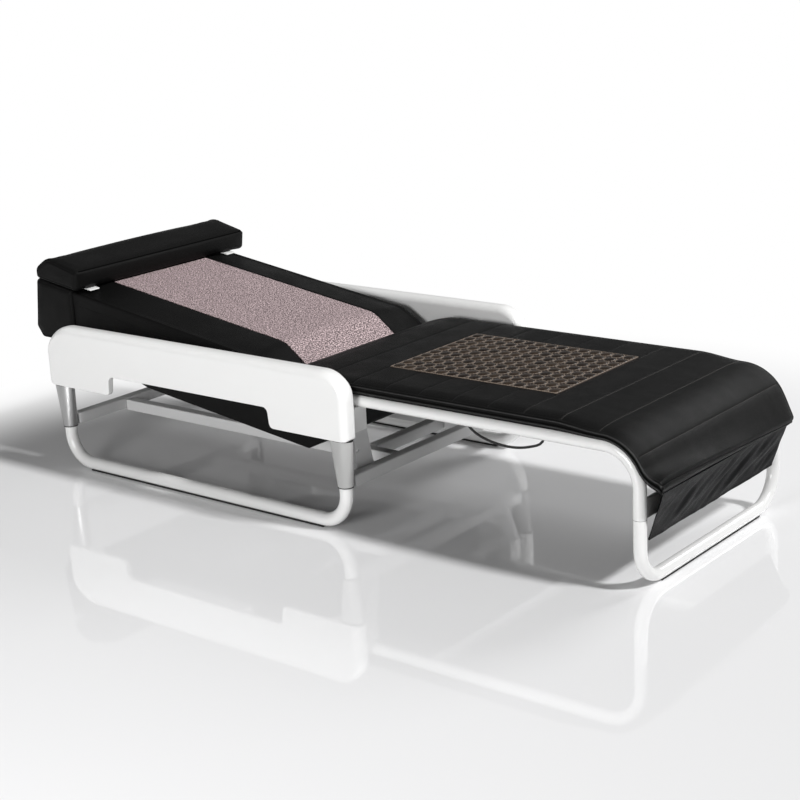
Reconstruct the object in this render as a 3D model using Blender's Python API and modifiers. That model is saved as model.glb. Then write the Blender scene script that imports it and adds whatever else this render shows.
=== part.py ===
"""Jade stone massage bed: tube base with armrest panels, padded roller body and sliding leg section.

Metres, +Z up, floor at z = 0. +X runs from the head to the foot, the sleeper's right side is -Y.
"""
import math

import bmesh
import bpy
from mathutils import Matrix, Vector

# Clearances
SEAT_GAP = 0.0003
BORE_GAP = 0.0004
SOFT_GAP = 0.0008
MERGE = 0.00005

# Tube base: two floor loops whose legs rise into the armrests
TUBE_D = 0.033
BASE_Y = 0.360
HEAD_LEG_X = -0.823
FOOT_LEG_X = 0.157
BASE_BEND_R = 0.075
LEG_POCKET_DEPTH = 0.050
STRIP_T = 0.003
STRIP_W = 0.014

# Tapered leg sleeves
SLEEVE_FOOT_Z = 0.114
SLEEVE_D = 0.038
SLEEVE_TOP_LENGTH = 0.066
SLEEVE_LEAN = 0.007

# Armrest panels
ARM_OUTER_Y = 0.385
ARM_T = 0.050
ARM_HEAD_X = -0.868
ARM_FOOT_X = 0.184
ARM_BOTTOM_Z = 0.232
ARM_TOP_Z = 0.408
ARM_NOTCH_Z = 0.283
ARM_HEAD_NOTCH_X = -0.646
ARM_FOOT_NOTCH_X = -0.053
ARM_NOTCH_LEAN = 0.038
ARM_EDGE_R = 0.013
ARM_HEAD_TOP_R = 0.095
ARM_FOOT_TOP_R = 0.075
ARM_HEAD_LOBE_R = 0.030
ARM_FOOT_LOBE_R = 0.010
ARM_LOBE_R = 0.018
ARM_NOTCH_R = 0.010

# Underframe of square tube
SQUARE = 0.030
SQUARE_R = 0.003
HEAD_CROSS_Z = 0.130
FOOT_CROSS_Z = 0.125
MID_CROSS_X = 0.057
RUNNER_Y = 0.155

# Slide guides of the leg section
BLOCK_X = 0.128
BLOCK_LENGTH = 0.040
BLOCK_INNER_Y = 0.284
BLOCK_FOOT_Z = 0.240
BLOCK_R = 0.002
BRACKET_T = 0.004
BRACKET_INSET = 0.002
BRACKET_FLANGE = 0.012
BRACKET_FOOT_W = 0.063
BRACKET_LEAN = 0.018
BRACKET_SPLAY = 0.027
BRACKET_HOLE_D = 0.009
BRACKET_HOLE_INSET = 0.009
BEARING_X = 0.082
BEARING_LENGTH = 0.040
BEARING_WALL = 0.005

# Padded body: its top falls from the head to a kink, then drops to the leg pad
HEAD_X = -0.9735
BODY_X = -0.828
BODY_TOP_Z = 0.480
BODY_SLOPE = math.radians(8.53)
KINK_X = -0.178
KINK_SLOPE = math.radians(36.0)
KINK_R = 0.070
KINK_STEPS = 6
DROP_GAP = 0.002
BODY_Y = 0.302
SIDE_T = 0.012
BELLY_T = 0.010
STRIP_CUSHION_T = 0.040
STRIP_RIM = 0.010
STRIP_EDGE_DROP = 0.006
MESH_Y = 0.180
MESH_T = 0.006
MESH_HEAD_INSET = 0.028
BODY_FRONT_X = 0.051
BODY_FRONT_FOOT_Z = 0.196
BODY_FRONT_Z = 0.285
STRIP_STATION = 0.120
MESH_STATION = 0.200
BODY_BRACKET_X = -0.600
BODY_BRACKET_LENGTH = 0.360
BODY_BRACKET_Z = 0.300
BODY_BRACKET_H = 0.040
HEAD_BLOCK_Z = 0.340
HEAD_BLOCK_CHAMFER = 0.036
HEAD_BLOCK_LEAN = 0.014
HEAD_BLOCK_R = 0.014

# Head bolster and the two tabs it rests on
BOLSTER_Y = 0.312
BOLSTER_LAP = 0.012
BOLSTER_DEPTH = 0.164
BOLSTER_FRONT_H = 0.057
BOLSTER_FRONT_LEAN = 0.008
BOLSTER_BACK_H = 0.052
BOLSTER_CREST_R = 0.050
BOLSTER_CREST_DEPTH = 0.085
BOLSTER_CREST_H = 0.094
BOLSTER_R = 0.013
TAB_T = 0.003
TAB_W = 0.032
TAB_LENGTH = 0.070
TAB_INSET = 0.012
TAB_Y = 0.262

# Roller drive, measured along the slope from BODY_X and down from the top plane
ROLLER_R = 0.025
ROLLER_W = 0.042
ROLLER_Y = 0.046
ROLLER_EDGE_R = 0.008
AXLE_D = 0.008
AXLE_SPACING = 0.110
TABLE_T = 0.005
TABLE_LENGTH = 0.160
TABLE_Y = 0.084
TABLE_PLATE_DEPTH = 0.062
CHEEK_T = 0.006
LIFT_DROP = 0.030
POST_D = 0.012
POST_Y = 0.040
CARRIAGE_T = 0.006
CARRIAGE_Y = 0.118
CARRIAGE_REST = 0.250
SHOE_LENGTH = 0.100
SHOE_H = 0.022
RAIL_D = 0.012
RAIL_Y = 0.100
TIE_W = 0.020
TIE_H = 0.050
HEAD_TIE = 0.125
FOOT_TIE = 0.660
BELT_T = 0.003
BELT_W = 0.010
PULLEY_R = 0.015
PULLEY_W = 0.012
SHAFT_D = 0.008
MOTOR_D = 0.036
MOTOR_LENGTH = 0.080
FORK_ARM = 0.034
FORK_T = 0.005
FORK_H = 0.016
FORK_GAP = 0.002
BELT_STEPS = 10

# Leg section: side tubes, foot loop, pad, stone panel, apron
SIDE_TUBE_D = 0.030
SIDE_TUBE_Y = 0.308
SIDE_TUBE_Z = 0.3165
SIDE_TUBE_END_X = -0.078
KNEE_R = 0.085
KNEE_STEPS = 9
FOOT_X = 0.925
FOOT_JOINT_Z = 0.165
FOOT_BEND_R = 0.080
CROSS_BAR = 0.020
CROSS_BAR_R = 0.002
CROSS_BAR_X = 0.330
END_BAR_T = 0.008
END_BAR_FOOT_Z = 0.160
END_BAR_H = 0.045
PAD_Y = 0.325
PAD_T = 0.033
PAD_INNER_X = -0.101
PAD_END_TURN = math.radians(88.0)
PAD_END_RUN = 0.006
PAD_KNEE_EASE = 0.120
PAD_KNEE_THIN = 0.010
PAD_TIP_T = 0.007
PAD_TIP_LENGTH = 0.105
CHANNEL_PITCH = 0.0965
CHANNEL_HALF = 0.007
CHANNEL_DEPTH = 0.005
PAD_CROWN = 0.0015
WELT_W = 0.012
WELT_GROOVE = 0.003
PAD_EDGE_DROP = 0.012
PAD_TAIL_T = 0.030
PAD_TAIL_LENGTH = 0.012
NEAR = 0.003
STONE_X = 0.157
STONE_Y = 0.180
STONE_ROWS = 15
STONE_COLUMNS = 10
STONE_PITCH = 0.0321
STONE_HEIGHT = 0.004
NET_T = 0.004
RECESS = 0.004
RECESS_WALL = 0.003
STONE_MARGIN = 0.002
STONE_INSET = 0.004
APRON_Y = 0.284
APRON_T = 0.004
APRON_FOOT_X = 0.931
APRON_FOOT_Z = 0.113
APRON_FOLDS = 6
APRON_FOLD_DEPTH = 0.004
APRON_SLANT = 0.20
APRON_FOLD_STEPS = 6
APRON_CUTS = (0.12, 0.35, 0.65)
LEAD_D = 0.006
GLAND_D = 0.014
GLAND_H = 0.014
LEAD_Y = -0.275
LEAD_GLAND_X = 0.455
LEAD_FAR_X = 0.672

# Worked out from the sizes above
TUBE_R = TUBE_D / 2
FLOOR_TUBE_Z = STRIP_T + SEAT_GAP + TUBE_R
ARM_INNER_Y = ARM_OUTER_Y - ARM_T
SLEEVE_TOP_Z = ARM_BOTTOM_Z - SEAT_GAP
LEG_TOP_Z = ARM_BOTTOM_Z + LEG_POCKET_DEPTH
SIDE_TUBE_R = SIDE_TUBE_D / 2
FOOT_TUBE_Z = STRIP_T + SEAT_GAP + SIDE_TUBE_R
PAD_SEAT = SIDE_TUBE_R + SOFT_GAP
PAD_UNDER_Z = SIDE_TUBE_Z + PAD_SEAT
ROLLER_DEPTH = MESH_T + SOFT_GAP + ROLLER_R
RAIL_DEPTH = TABLE_PLATE_DEPTH + TABLE_T + LIFT_DROP + SOFT_GAP + CARRIAGE_T / 2
PULLEY_DEPTH = RAIL_DEPTH + CARRIAGE_T / 2 + SEAT_GAP + BELT_T + SEAT_GAP + PULLEY_R
MOTOR_S = HEAD_TIE + SEAT_GAP + MOTOR_D / 2
IDLER_S = FOOT_TIE - SEAT_GAP - BELT_T - PULLEY_R - SEAT_GAP
BOLSTER_FRONT_X = BODY_X + MESH_HEAD_INSET + BOLSTER_LAP
BOLSTER_BACK_X = BOLSTER_FRONT_X - BOLSTER_DEPTH
BOLSTER_CREST_X = BOLSTER_FRONT_X - BOLSTER_CREST_DEPTH
SIDE_NAMES = (("right", -1), ("left", 1))

# Finishes: base colour, roughness, metallic
FINISHES = {
    "white_enamel": ((0.86, 0.86, 0.85), 0.25, 0.0),
    "grey_enamel": ((0.55, 0.55, 0.55), 0.40, 0.1),
    "steel": ((0.62, 0.62, 0.63), 0.30, 1.0),
    "black_leather": ((0.012, 0.012, 0.012), 0.42, 0.0),
    "mauve_mesh": ((0.47, 0.38, 0.38), 0.80, 0.0),
    "black_cloth": ((0.02, 0.02, 0.02), 0.75, 0.0),
    "jade": ((0.14, 0.11, 0.08), 0.30, 0.0),
    "rubber": ((0.03, 0.03, 0.03), 0.70, 0.0),
    "dark_plastic": ((0.05, 0.05, 0.055), 0.45, 0.0),
}


def clear_scene():
    for old in list(bpy.data.objects):
        bpy.data.objects.remove(old, do_unlink=True)


def new_collection(name):
    made = bpy.data.collections.new(name)
    bpy.context.scene.collection.children.link(made)
    return made


clear_scene()
PARTS = new_collection("massage_bed")
CUTTERS = new_collection("cutters")


def material(finish):
    made = bpy.data.materials.get(finish)
    if made:
        return made
    color, roughness, metallic = FINISHES[finish]
    made = bpy.data.materials.new(finish)
    made.use_nodes = True
    shader = made.node_tree.nodes["Principled BSDF"]
    shader.inputs["Base Color"].default_value = (*color, 1.0)
    shader.inputs["Roughness"].default_value = roughness
    shader.inputs["Metallic"].default_value = metallic
    return made


def pivot(name, location, pitch=0.0):
    """An empty on a joint's axis, tipped about Y by pitch."""
    made = bpy.data.objects.new(name, None)
    made.matrix_world = Matrix.Translation(location) @ Matrix.Rotation(pitch, 4, "Y")
    PARTS.objects.link(made)
    return made


def finish_object(obj, finish):
    obj.data.materials.append(material(finish))
    PARTS.objects.link(obj)
    return obj


def carry(obj, empty):
    """Parent an object to an empty and leave it where it is."""
    bpy.context.view_layer.update()
    obj.parent = empty
    obj.matrix_parent_inverse = empty.matrix_world.inverted()
    return obj


def place_in(obj, empty):
    """Parent an object that was built in the empty's own frame."""
    obj.parent = empty
    return obj


def closed_mesh(name, shape):
    """A mesh from a closed shape, with its faces pointing out."""
    bmesh.ops.recalc_face_normals(shape, faces=shape.faces[:])
    if shape.calc_volume(signed=True) < 0:
        bmesh.ops.reverse_faces(shape, faces=shape.faces[:])
    mesh = bpy.data.meshes.new(name)
    shape.to_mesh(mesh)
    shape.free()
    return mesh


def mesh_object(name, shape, finish, smooth=0.6):
    mesh = closed_mesh(name, shape)
    mesh.shade_smooth()
    mesh.set_sharp_from_angle(angle=smooth)
    return finish_object(bpy.data.objects.new(name, mesh), finish)


def box_shape(low, high):
    low = Vector(low)
    high = Vector(high)
    shape = bmesh.new()
    bmesh.ops.create_cube(shape, size=1.0)
    bmesh.ops.scale(shape, vec=high - low, verts=shape.verts)
    bmesh.ops.translate(shape, vec=(high + low) / 2, verts=shape.verts)
    return shape


def box(name, low, high, finish, bevel=0.0):
    """A box between two corners, with rounded edges if a bevel is given."""
    made = mesh_object(name, box_shape(low, high), finish)
    if bevel:
        rounding = made.modifiers.new("rounding", "BEVEL")
        rounding.width = bevel
        rounding.segments = 2
    return made


def rod_shape(radius, low, high, axis="Y", sides=24):
    """A cylinder along X, Y or Z, between two points on its axis."""
    low = Vector(low)
    high = Vector(high)
    turn = {"X": Matrix.Rotation(math.pi / 2, 3, "Y"), "Y": Matrix.Rotation(math.pi / 2, 3, "X")}
    shape = bmesh.new()
    length = (high - low).length
    bmesh.ops.create_cone(shape, cap_ends=True, segments=sides, radius1=radius, radius2=radius, depth=length)
    if axis in turn:
        bmesh.ops.rotate(shape, matrix=turn[axis], verts=shape.verts)
    bmesh.ops.translate(shape, vec=(low + high) / 2, verts=shape.verts)
    return shape


def rod(name, radius, low, high, finish, axis="Y", sides=24):
    return mesh_object(name, rod_shape(radius, low, high, axis, sides), finish)


def boolean(obj, shape, label, operation="DIFFERENCE", empty=None):
    """Cut a shape out of an object, or join it on, with a wire cutter kept beside it."""
    cutter = bpy.data.objects.new(label, closed_mesh(label, shape))
    cutter.hide_render = True
    cutter.display_type = "WIRE"
    cutter.parent = empty
    CUTTERS.objects.link(cutter)
    change = obj.modifiers.new(label, "BOOLEAN")
    change.operation = operation
    change.object = cutter
    return obj


def rounded(points, steps=6, closed=True):
    """Points of an outline or path whose corners (x, z, radius) are turned into arcs."""
    count = len(points)
    result = []
    for index, (x, z, radius) in enumerate(points):
        here = Vector((x, z))
        inner = closed or 0 < index < count - 1
        if not inner or radius <= 0:
            result.append(here)
            continue
        back = (Vector(points[index - 1][:2]) - here).normalized()
        ahead = (Vector(points[(index + 1) % count][:2]) - here).normalized()
        half = back.angle(ahead) / 2
        run = radius / math.tan(half)
        centre = here + (back + ahead).normalized() * (radius / math.sin(half))
        start = here + back * run - centre
        sweep = (here + ahead * run - centre).angle_signed(start)
        for step in range(steps + 1):
            turn = Matrix.Rotation(sweep * step / steps, 2)
            result.append(centre + turn @ start)
    return result


def outline_curve(name, outlines, half_width, edge=0.0):
    """A flat shape in X and Z, thickened along Y about y = 0, its edges rounded if asked."""
    data = bpy.data.curves.new(name, "CURVE")
    data.dimensions = "2D"
    data.fill_mode = "BOTH"
    data.extrude = half_width - edge
    data.bevel_depth = edge
    data.bevel_resolution = 2
    data.offset = -edge
    for points in outlines:
        spline = data.splines.new("POLY")
        spline.points.add(len(points) - 1)
        for slot, point in zip(spline.points, points):
            slot.co = (point[0], point[1], 0.0, 1.0)
        spline.use_cyclic_u = True
    made = bpy.data.objects.new(name, data)
    made.rotation_euler = (math.pi / 2, 0.0, 0.0)
    return made


def plate(name, outlines, y_middle, half_width, finish, edge=0.0):
    """An outline plate made a mesh, standing at y_middle."""
    flat = outline_curve(name, outlines, half_width, edge)
    PARTS.objects.link(flat)
    flat.location.y = y_middle
    bpy.context.view_layer.update()
    seen = flat.evaluated_get(bpy.context.evaluated_depsgraph_get())
    mesh = bpy.data.meshes.new_from_object(seen)
    mesh.transform(flat.matrix_world)
    bpy.data.objects.remove(flat, do_unlink=True)
    shape = bmesh.new()
    shape.from_mesh(mesh)
    bmesh.ops.remove_doubles(shape, verts=shape.verts, dist=MERGE)
    return mesh_object(name, shape, finish)


def tube(name, points, diameter, finish, resolution=4):
    """A round tube along a list of points, with closed ends."""
    data = bpy.data.curves.new(name, "CURVE")
    data.dimensions = "3D"
    data.bevel_depth = diameter / 2
    data.bevel_resolution = resolution
    data.use_fill_caps = True
    spline = data.splines.new("POLY")
    spline.points.add(len(points) - 1)
    for slot, point in zip(spline.points, points):
        slot.co = (*point, 1.0)
    return finish_object(bpy.data.objects.new(name, data), finish)


def cut_block(low, high, cuts_x, cuts_y):
    """A block in its own (along, across, up) space, cut at the given stations."""
    shape = box_shape(low, high)
    for axis, cuts in ((Vector((1, 0, 0)), cuts_x), (Vector((0, 1, 0)), cuts_y)):
        for cut in cuts:
            geometry = shape.verts[:] + shape.edges[:] + shape.faces[:]
            bmesh.ops.bisect_plane(shape, geom=geometry, plane_co=axis * cut, plane_no=axis)
    return shape


class Path:
    """A line in X and Z with lengths along it, for bending a block round it."""

    def __init__(self, points):
        self.points = points
        self.lengths = [0.0]
        for start, end in zip(points, points[1:]):
            self.lengths.append(self.lengths[-1] + (end - start).length)

    def run(self, index):
        """Direction of one straight step, or of the nearest one past an end."""
        index = min(max(index, 0), len(self.points) - 2)
        return (self.points[index + 1] - self.points[index]).normalized()

    def at(self, along, up):
        """The point at a length along the line and a height off its left side."""
        index = 0
        last = len(self.points) - 2
        while index < last and self.lengths[index + 1] < along:
            index += 1
        part = (along - self.lengths[index]) / (self.lengths[index + 1] - self.lengths[index])
        before = self.run(index - 1) + self.run(index)
        after = self.run(index) + self.run(index + 1)
        run = before.normalized().lerp(after.normalized(), min(max(part, 0.0), 1.0)).normalized()
        here = self.points[index] + self.run(index) * (along - self.lengths[index])
        return here + Vector((-run.y, run.x)) * up

    def length_at_turn(self, angle):
        """Length along the line where it first points down by an angle."""
        for index in range(len(self.points) - 1):
            run = self.run(index)
            if math.atan2(-run.y, run.x) >= angle:
                return self.lengths[index]
        return self.lengths[-1]


def top_plane(x):
    """Height of the padded body's sloping top between the head and the kink."""
    return BODY_TOP_Z - math.tan(BODY_SLOPE) * (x - BODY_X)


def drop_x(z):
    """Where the steep front of the body passes a height."""
    return KINK_X + (top_plane(KINK_X) - z) / math.tan(KINK_SLOPE)


# Base: floor loops, floor strips, sleeves and armrests
def base_loop(side, sign):
    corners = [
        (HEAD_LEG_X, LEG_TOP_Z - SEAT_GAP, 0.0),
        (HEAD_LEG_X, FLOOR_TUBE_Z, BASE_BEND_R),
        (FOOT_LEG_X, FLOOR_TUBE_Z, BASE_BEND_R),
        (FOOT_LEG_X, LEG_TOP_Z - SEAT_GAP, 0.0),
    ]
    path = rounded(corners, steps=8, closed=False)
    tube(f"base_loop_{side}", [(p.x, sign * BASE_Y, p.y) for p in path], TUBE_D, "white_enamel")
    low = (HEAD_LEG_X + BASE_BEND_R, sign * BASE_Y - STRIP_W / 2, 0.0)
    high = (FOOT_LEG_X - BASE_BEND_R, sign * BASE_Y + STRIP_W / 2, STRIP_T)
    box(f"floor_strip_{side}", low, high, "rubber")


def sleeve(end, side, sign, leg_x):
    """A sleeve round at its foot and oval under the armrest."""
    shape = bmesh.new()
    height = SLEEVE_TOP_Z - SLEEVE_FOOT_Z
    radius = SLEEVE_D / 2
    bmesh.ops.create_cone(shape, cap_ends=True, segments=32, radius1=radius, radius2=radius, depth=height)
    for vert in shape.verts:
        if vert.co.z > 0:
            vert.co.x = vert.co.x * SLEEVE_TOP_LENGTH / SLEEVE_D - SLEEVE_LEAN
    middle = Vector((leg_x, sign * BASE_Y, (SLEEVE_TOP_Z + SLEEVE_FOOT_Z) / 2))
    bmesh.ops.translate(shape, vec=middle, verts=shape.verts)
    finish = "steel" if end == "head" else "grey_enamel"
    made = mesh_object(f"sleeve_{end}_{side}", shape, finish)
    reach = Vector((0, 0, height))
    bore = rod_shape(TUBE_R + BORE_GAP, middle - reach, middle + reach, "Z", 32)
    boolean(made, bore, f"sleeve_bore_{end}_{side}")


def armrest(side, sign):
    corners = [
        (ARM_HEAD_X, ARM_BOTTOM_Z, ARM_HEAD_LOBE_R),
        (ARM_HEAD_X, ARM_TOP_Z, ARM_HEAD_TOP_R),
        (ARM_FOOT_X, ARM_TOP_Z, ARM_FOOT_TOP_R),
        (ARM_FOOT_X, ARM_BOTTOM_Z, ARM_FOOT_LOBE_R),
        (ARM_FOOT_NOTCH_X, ARM_BOTTOM_Z, ARM_LOBE_R),
        (ARM_FOOT_NOTCH_X - ARM_NOTCH_LEAN, ARM_NOTCH_Z, ARM_NOTCH_R),
        (ARM_HEAD_NOTCH_X + ARM_NOTCH_LEAN, ARM_NOTCH_Z, ARM_NOTCH_R),
        (ARM_HEAD_NOTCH_X, ARM_BOTTOM_Z, ARM_LOBE_R),
    ]
    middle = sign * (ARM_OUTER_Y - ARM_T / 2)
    made = plate(f"armrest_{side}", [rounded(corners)], middle, ARM_T / 2, "white_enamel", ARM_EDGE_R)
    for end, leg_x in (("head", HEAD_LEG_X), ("foot", FOOT_LEG_X)):
        low = (leg_x, sign * BASE_Y, ARM_BOTTOM_Z - LEG_POCKET_DEPTH)
        pocket = rod_shape(TUBE_R + BORE_GAP, low, (leg_x, sign * BASE_Y, LEG_TOP_Z), "Z", 32)
        boolean(made, pocket, f"leg_pocket_{end}_{side}")


# Underframe of square tube between the legs
def underframe():
    half = SQUARE / 2
    reach = BASE_Y - SLEEVE_D / 2 - SEAT_GAP
    tubes = (
        ("head", HEAD_LEG_X, HEAD_CROSS_Z, reach),
        ("foot", FOOT_LEG_X, FOOT_CROSS_Z, reach),
        ("middle", MID_CROSS_X, FOOT_CROSS_Z, RUNNER_Y - half - SEAT_GAP),
    )
    for name, x, z, y in tubes:
        box(f"cross_tube_{name}", (x - half, -y, z - half), (x + half, y, z + half), "grey_enamel", SQUARE_R)
    start = HEAD_LEG_X + half + SEAT_GAP
    for side, sign in SIDE_NAMES:
        y = sign * RUNNER_Y
        low = (start, y - half, FOOT_CROSS_Z - half)
        high = (FOOT_LEG_X - half - SEAT_GAP, y + half, FOOT_CROSS_Z + half)
        box(f"runner_{side}", low, high, "grey_enamel", SQUARE_R)


# Guides that the leg section's side tubes slide in
def slide_guides(side, sign):
    block_top = SIDE_TUBE_Z - SIDE_TUBE_R - SEAT_GAP
    seat = ARM_INNER_Y - SEAT_GAP
    spans = sorted((sign * BLOCK_INNER_Y, sign * seat))
    low = (BLOCK_X, spans[0], BLOCK_FOOT_Z)
    high = (BLOCK_X + BLOCK_LENGTH, spans[1], block_top)
    box(f"guide_block_{side}", low, high, "white_enamel", BLOCK_R)

    inner = SIDE_TUBE_Y - SIDE_TUBE_R - BEARING_WALL
    spans = sorted((sign * inner, sign * seat))
    reach = SIDE_TUBE_R + BEARING_WALL
    low = (BEARING_X, spans[0], SIDE_TUBE_Z - reach)
    high = (BEARING_X + BEARING_LENGTH, spans[1], SIDE_TUBE_Z)
    made = box(f"slide_bearing_{side}", low, high, "dark_plastic")
    start = (BEARING_X - BEARING_WALL, sign * SIDE_TUBE_Y, SIDE_TUBE_Z)
    end = (BEARING_X + BEARING_LENGTH + BEARING_WALL, sign * SIDE_TUBE_Y, SIDE_TUBE_Z)
    shape = rod_shape(SIDE_TUBE_R + BORE_GAP, start, end, "X", 32)
    boolean(made, shape, f"bearing_bore_{side}")


def guide_bracket(side, sign):
    """A folded sheet bracket from the underframe up to the guide block, splayed inwards at its foot."""
    top = Vector((BLOCK_X + BLOCK_LENGTH - BRACKET_INSET, ARM_INNER_Y - BRACKET_INSET, BLOCK_FOOT_Z - SEAT_GAP))
    foot = top - Vector((BRACKET_LEAN, BRACKET_SPLAY, 0.0))
    foot.z = FOOT_CROSS_Z + SQUARE / 2 + SEAT_GAP
    thick = BRACKET_T
    deep = BRACKET_FLANGE
    shape = bmesh.new()
    rings = []
    for corner, width in ((foot, BRACKET_FOOT_W), (top, top.y - BLOCK_INNER_Y)):
        fold = ((0, 0), (0, width), (thick, width), (thick, thick), (deep, thick), (deep, 0))
        rings.append([shape.verts.new((corner.x - x, sign * (corner.y - y), corner.z)) for x, y in fold])
    count = len(rings[0])
    for index in range(count):
        after = (index + 1) % count
        shape.faces.new((rings[0][index], rings[0][after], rings[1][after], rings[1][index]))
    for ring in rings:
        shape.faces.new(ring)
    made = mesh_object(f"guide_bracket_{side}", shape, "grey_enamel")
    middle = (top + foot) / 2
    y = sign * (middle.y - BRACKET_HOLE_INSET)
    start = (middle.x - thick - BRACKET_INSET, y, middle.z)
    hole = rod_shape(BRACKET_HOLE_D / 2, start, (top.x + thick, y, middle.z), "X", 20)
    boolean(made, hole, f"bracket_hole_{side}")


# Padded body: side panels, belly, cushions, mesh and head block
BELLY_LEDGE = 0.045
BELLY_LINE = ((0.185, 0.1853), (0.261, 0.2009), (0.581, 0.1959), (0.819, 0.1922))


def belly_points():
    """The underside from the head block to the front edge, each point a run from BODY_X and a depth."""
    line = [Vector((BODY_X, HEAD_BLOCK_Z)), Vector((BODY_X + BELLY_LEDGE, HEAD_BLOCK_Z))]
    line += [Vector((BODY_X + run, top_plane(BODY_X + run) - depth)) for run, depth in BELLY_LINE]
    line += [Vector((BODY_FRONT_X, BODY_FRONT_FOOT_Z)), Vector((BODY_FRONT_X, BODY_FRONT_Z))]
    return line


def side_panels():
    path = body_path()
    depth = -STRIP_CUSHION_T - SEAT_GAP
    start = (STRIP_CUSHION_T + SEAT_GAP) * math.tan(BODY_SLOPE)
    under = [path.at(length, depth) for length in path.lengths[:0:-1]] + [path.at(start, depth)]
    ledge = under[0].x + (under[0].y - BODY_FRONT_Z) / math.tan(KINK_SLOPE)
    outline = belly_points() + [Vector((ledge, BODY_FRONT_Z))] + under
    for side, sign in SIDE_NAMES:
        middle = sign * (BODY_Y - SIDE_T / 2)
        plate(f"side_panel_{side}", [outline], middle, SIDE_T / 2, "black_leather")
        spans = sorted((sign * (BODY_Y + SEAT_GAP), sign * (ARM_INNER_Y - SEAT_GAP)))
        low = (BODY_BRACKET_X, spans[0], BODY_BRACKET_Z)
        high = (BODY_BRACKET_X + BODY_BRACKET_LENGTH, spans[1], BODY_BRACKET_Z + BODY_BRACKET_H)
        box(f"body_bracket_{side}", low, high, "grey_enamel")


def belly_panel():
    """A bent sheet between the side panels, open at the top."""
    reach = BODY_Y - SIDE_T - SEAT_GAP
    shape = bmesh.new()
    line = belly_points()
    verts = [[shape.verts.new((p.x, y, p.y)) for p in line] for y in (-reach, reach)]
    for index in range(len(line) - 1):
        shape.faces.new((verts[0][index], verts[0][index + 1], verts[1][index + 1], verts[1][index]))
    mesh = bpy.data.meshes.new("belly_panel")
    shape.to_mesh(mesh)
    shape.free()
    made = finish_object(bpy.data.objects.new("belly_panel", mesh), "black_cloth")
    sheet = made.modifiers.new("sheet", "SOLIDIFY")
    sheet.thickness = BELLY_T
    sheet.offset = 1.0
    sheet.use_even_offset = True


def body_path():
    """The line of the body's top, over the kink and down to the leg pad's level."""
    foot_z = PAD_UNDER_Z - DROP_GAP
    corners = [
        (BODY_X, top_plane(BODY_X), 0.0),
        (KINK_X, top_plane(KINK_X), KINK_R),
        (drop_x(foot_z), foot_z, 0.0),
    ]
    return Path(rounded(corners, steps=KINK_STEPS, closed=False))


def bent_stations(path, spacing):
    """Every corner of a path, with more stations between where they lie far apart."""
    stations = []
    for start, end in zip(path.lengths, path.lengths[1:]):
        count = max(1, round((end - start) / spacing))
        stations += [start + (end - start) * step / count for step in range(count)]
    return stations[1:]


def cushion_strip(side, sign):
    """One padded strip beside the mesh, crowned across and drawn in along both edges."""
    path = body_path()
    inner = MESH_Y + SOFT_GAP
    rims = (inner + STRIP_RIM, inner + 3 * STRIP_RIM, BODY_Y - 3 * STRIP_RIM, BODY_Y - STRIP_RIM)
    low = (STRIP_CUSHION_T * math.tan(BODY_SLOPE), inner, -STRIP_CUSHION_T)
    shape = cut_block(low, (path.lengths[-1], BODY_Y, 0.0), bent_stations(path, STRIP_STATION), rims)
    for vert in shape.verts:
        along, across, up = vert.co
        edge = min(across - inner, BODY_Y - across)
        sunk = STRIP_EDGE_DROP * max(0.0, 1.0 - edge / (2 * STRIP_RIM)) ** 2
        point = path.at(along, up - sunk if up > -STRIP_CUSHION_T / 2 else up)
        vert.co = (point.x, sign * across, point.y)
    mesh_object(f"cushion_strip_{side}", shape, "black_leather")


def mesh_panel():
    path = body_path()
    start = MESH_HEAD_INSET / math.cos(BODY_SLOPE)
    stations = [cut for cut in bent_stations(path, MESH_STATION) if cut > start]
    low = (start, -MESH_Y, -MESH_T)
    shape = cut_block(low, (path.lengths[-1], MESH_Y, 0.0), stations, ())
    for vert in shape.verts:
        along, across, up = vert.co
        point = path.at(along, up)
        vert.co = (point.x, across, point.y)
    mesh_object("mesh_panel", shape, "mauve_mesh")


def head_block():
    front = BODY_X - SEAT_GAP
    back = HEAD_X + HEAD_BLOCK_LEAN
    corners = [
        (front, HEAD_BLOCK_Z, HEAD_BLOCK_R),
        (front, top_plane(front), HEAD_BLOCK_R),
        (back, top_plane(back), HEAD_BLOCK_R),
        (HEAD_X, HEAD_BLOCK_Z + HEAD_BLOCK_CHAMFER, HEAD_BLOCK_R),
        (HEAD_X + HEAD_BLOCK_CHAMFER, HEAD_BLOCK_Z, HEAD_BLOCK_R),
    ]
    edge = HEAD_BLOCK_R - SOFT_GAP
    plate("head_block", [rounded(corners, steps=4)], 0.0, BODY_Y, "black_leather", edge)


def bolster():
    """The head bolster, lifted off its two tabs along a pivot."""
    rest = TAB_T / math.cos(BODY_SLOPE) + 2 * SEAT_GAP
    front = BOLSTER_FRONT_X
    back = BOLSTER_BACK_X
    corners = [
        (front, top_plane(front) + rest, BOLSTER_R),
        (front + BOLSTER_FRONT_LEAN, top_plane(front) + rest + BOLSTER_FRONT_H, BOLSTER_R),
        (BOLSTER_CREST_X, BODY_TOP_Z + BOLSTER_CREST_H, BOLSTER_CREST_R),
        (back, BODY_TOP_Z + BOLSTER_BACK_H, BOLSTER_R),
        (back, top_plane(back) + rest, BOLSTER_R),
    ]
    edge = BOLSTER_R - SOFT_GAP
    made = plate("bolster", [rounded(corners, steps=4)], 0.0, BOLSTER_Y, "black_leather", edge)
    carry(made, pivot("bolster_lift", (BOLSTER_CREST_X, 0.0, top_plane(BOLSTER_CREST_X))))


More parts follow.
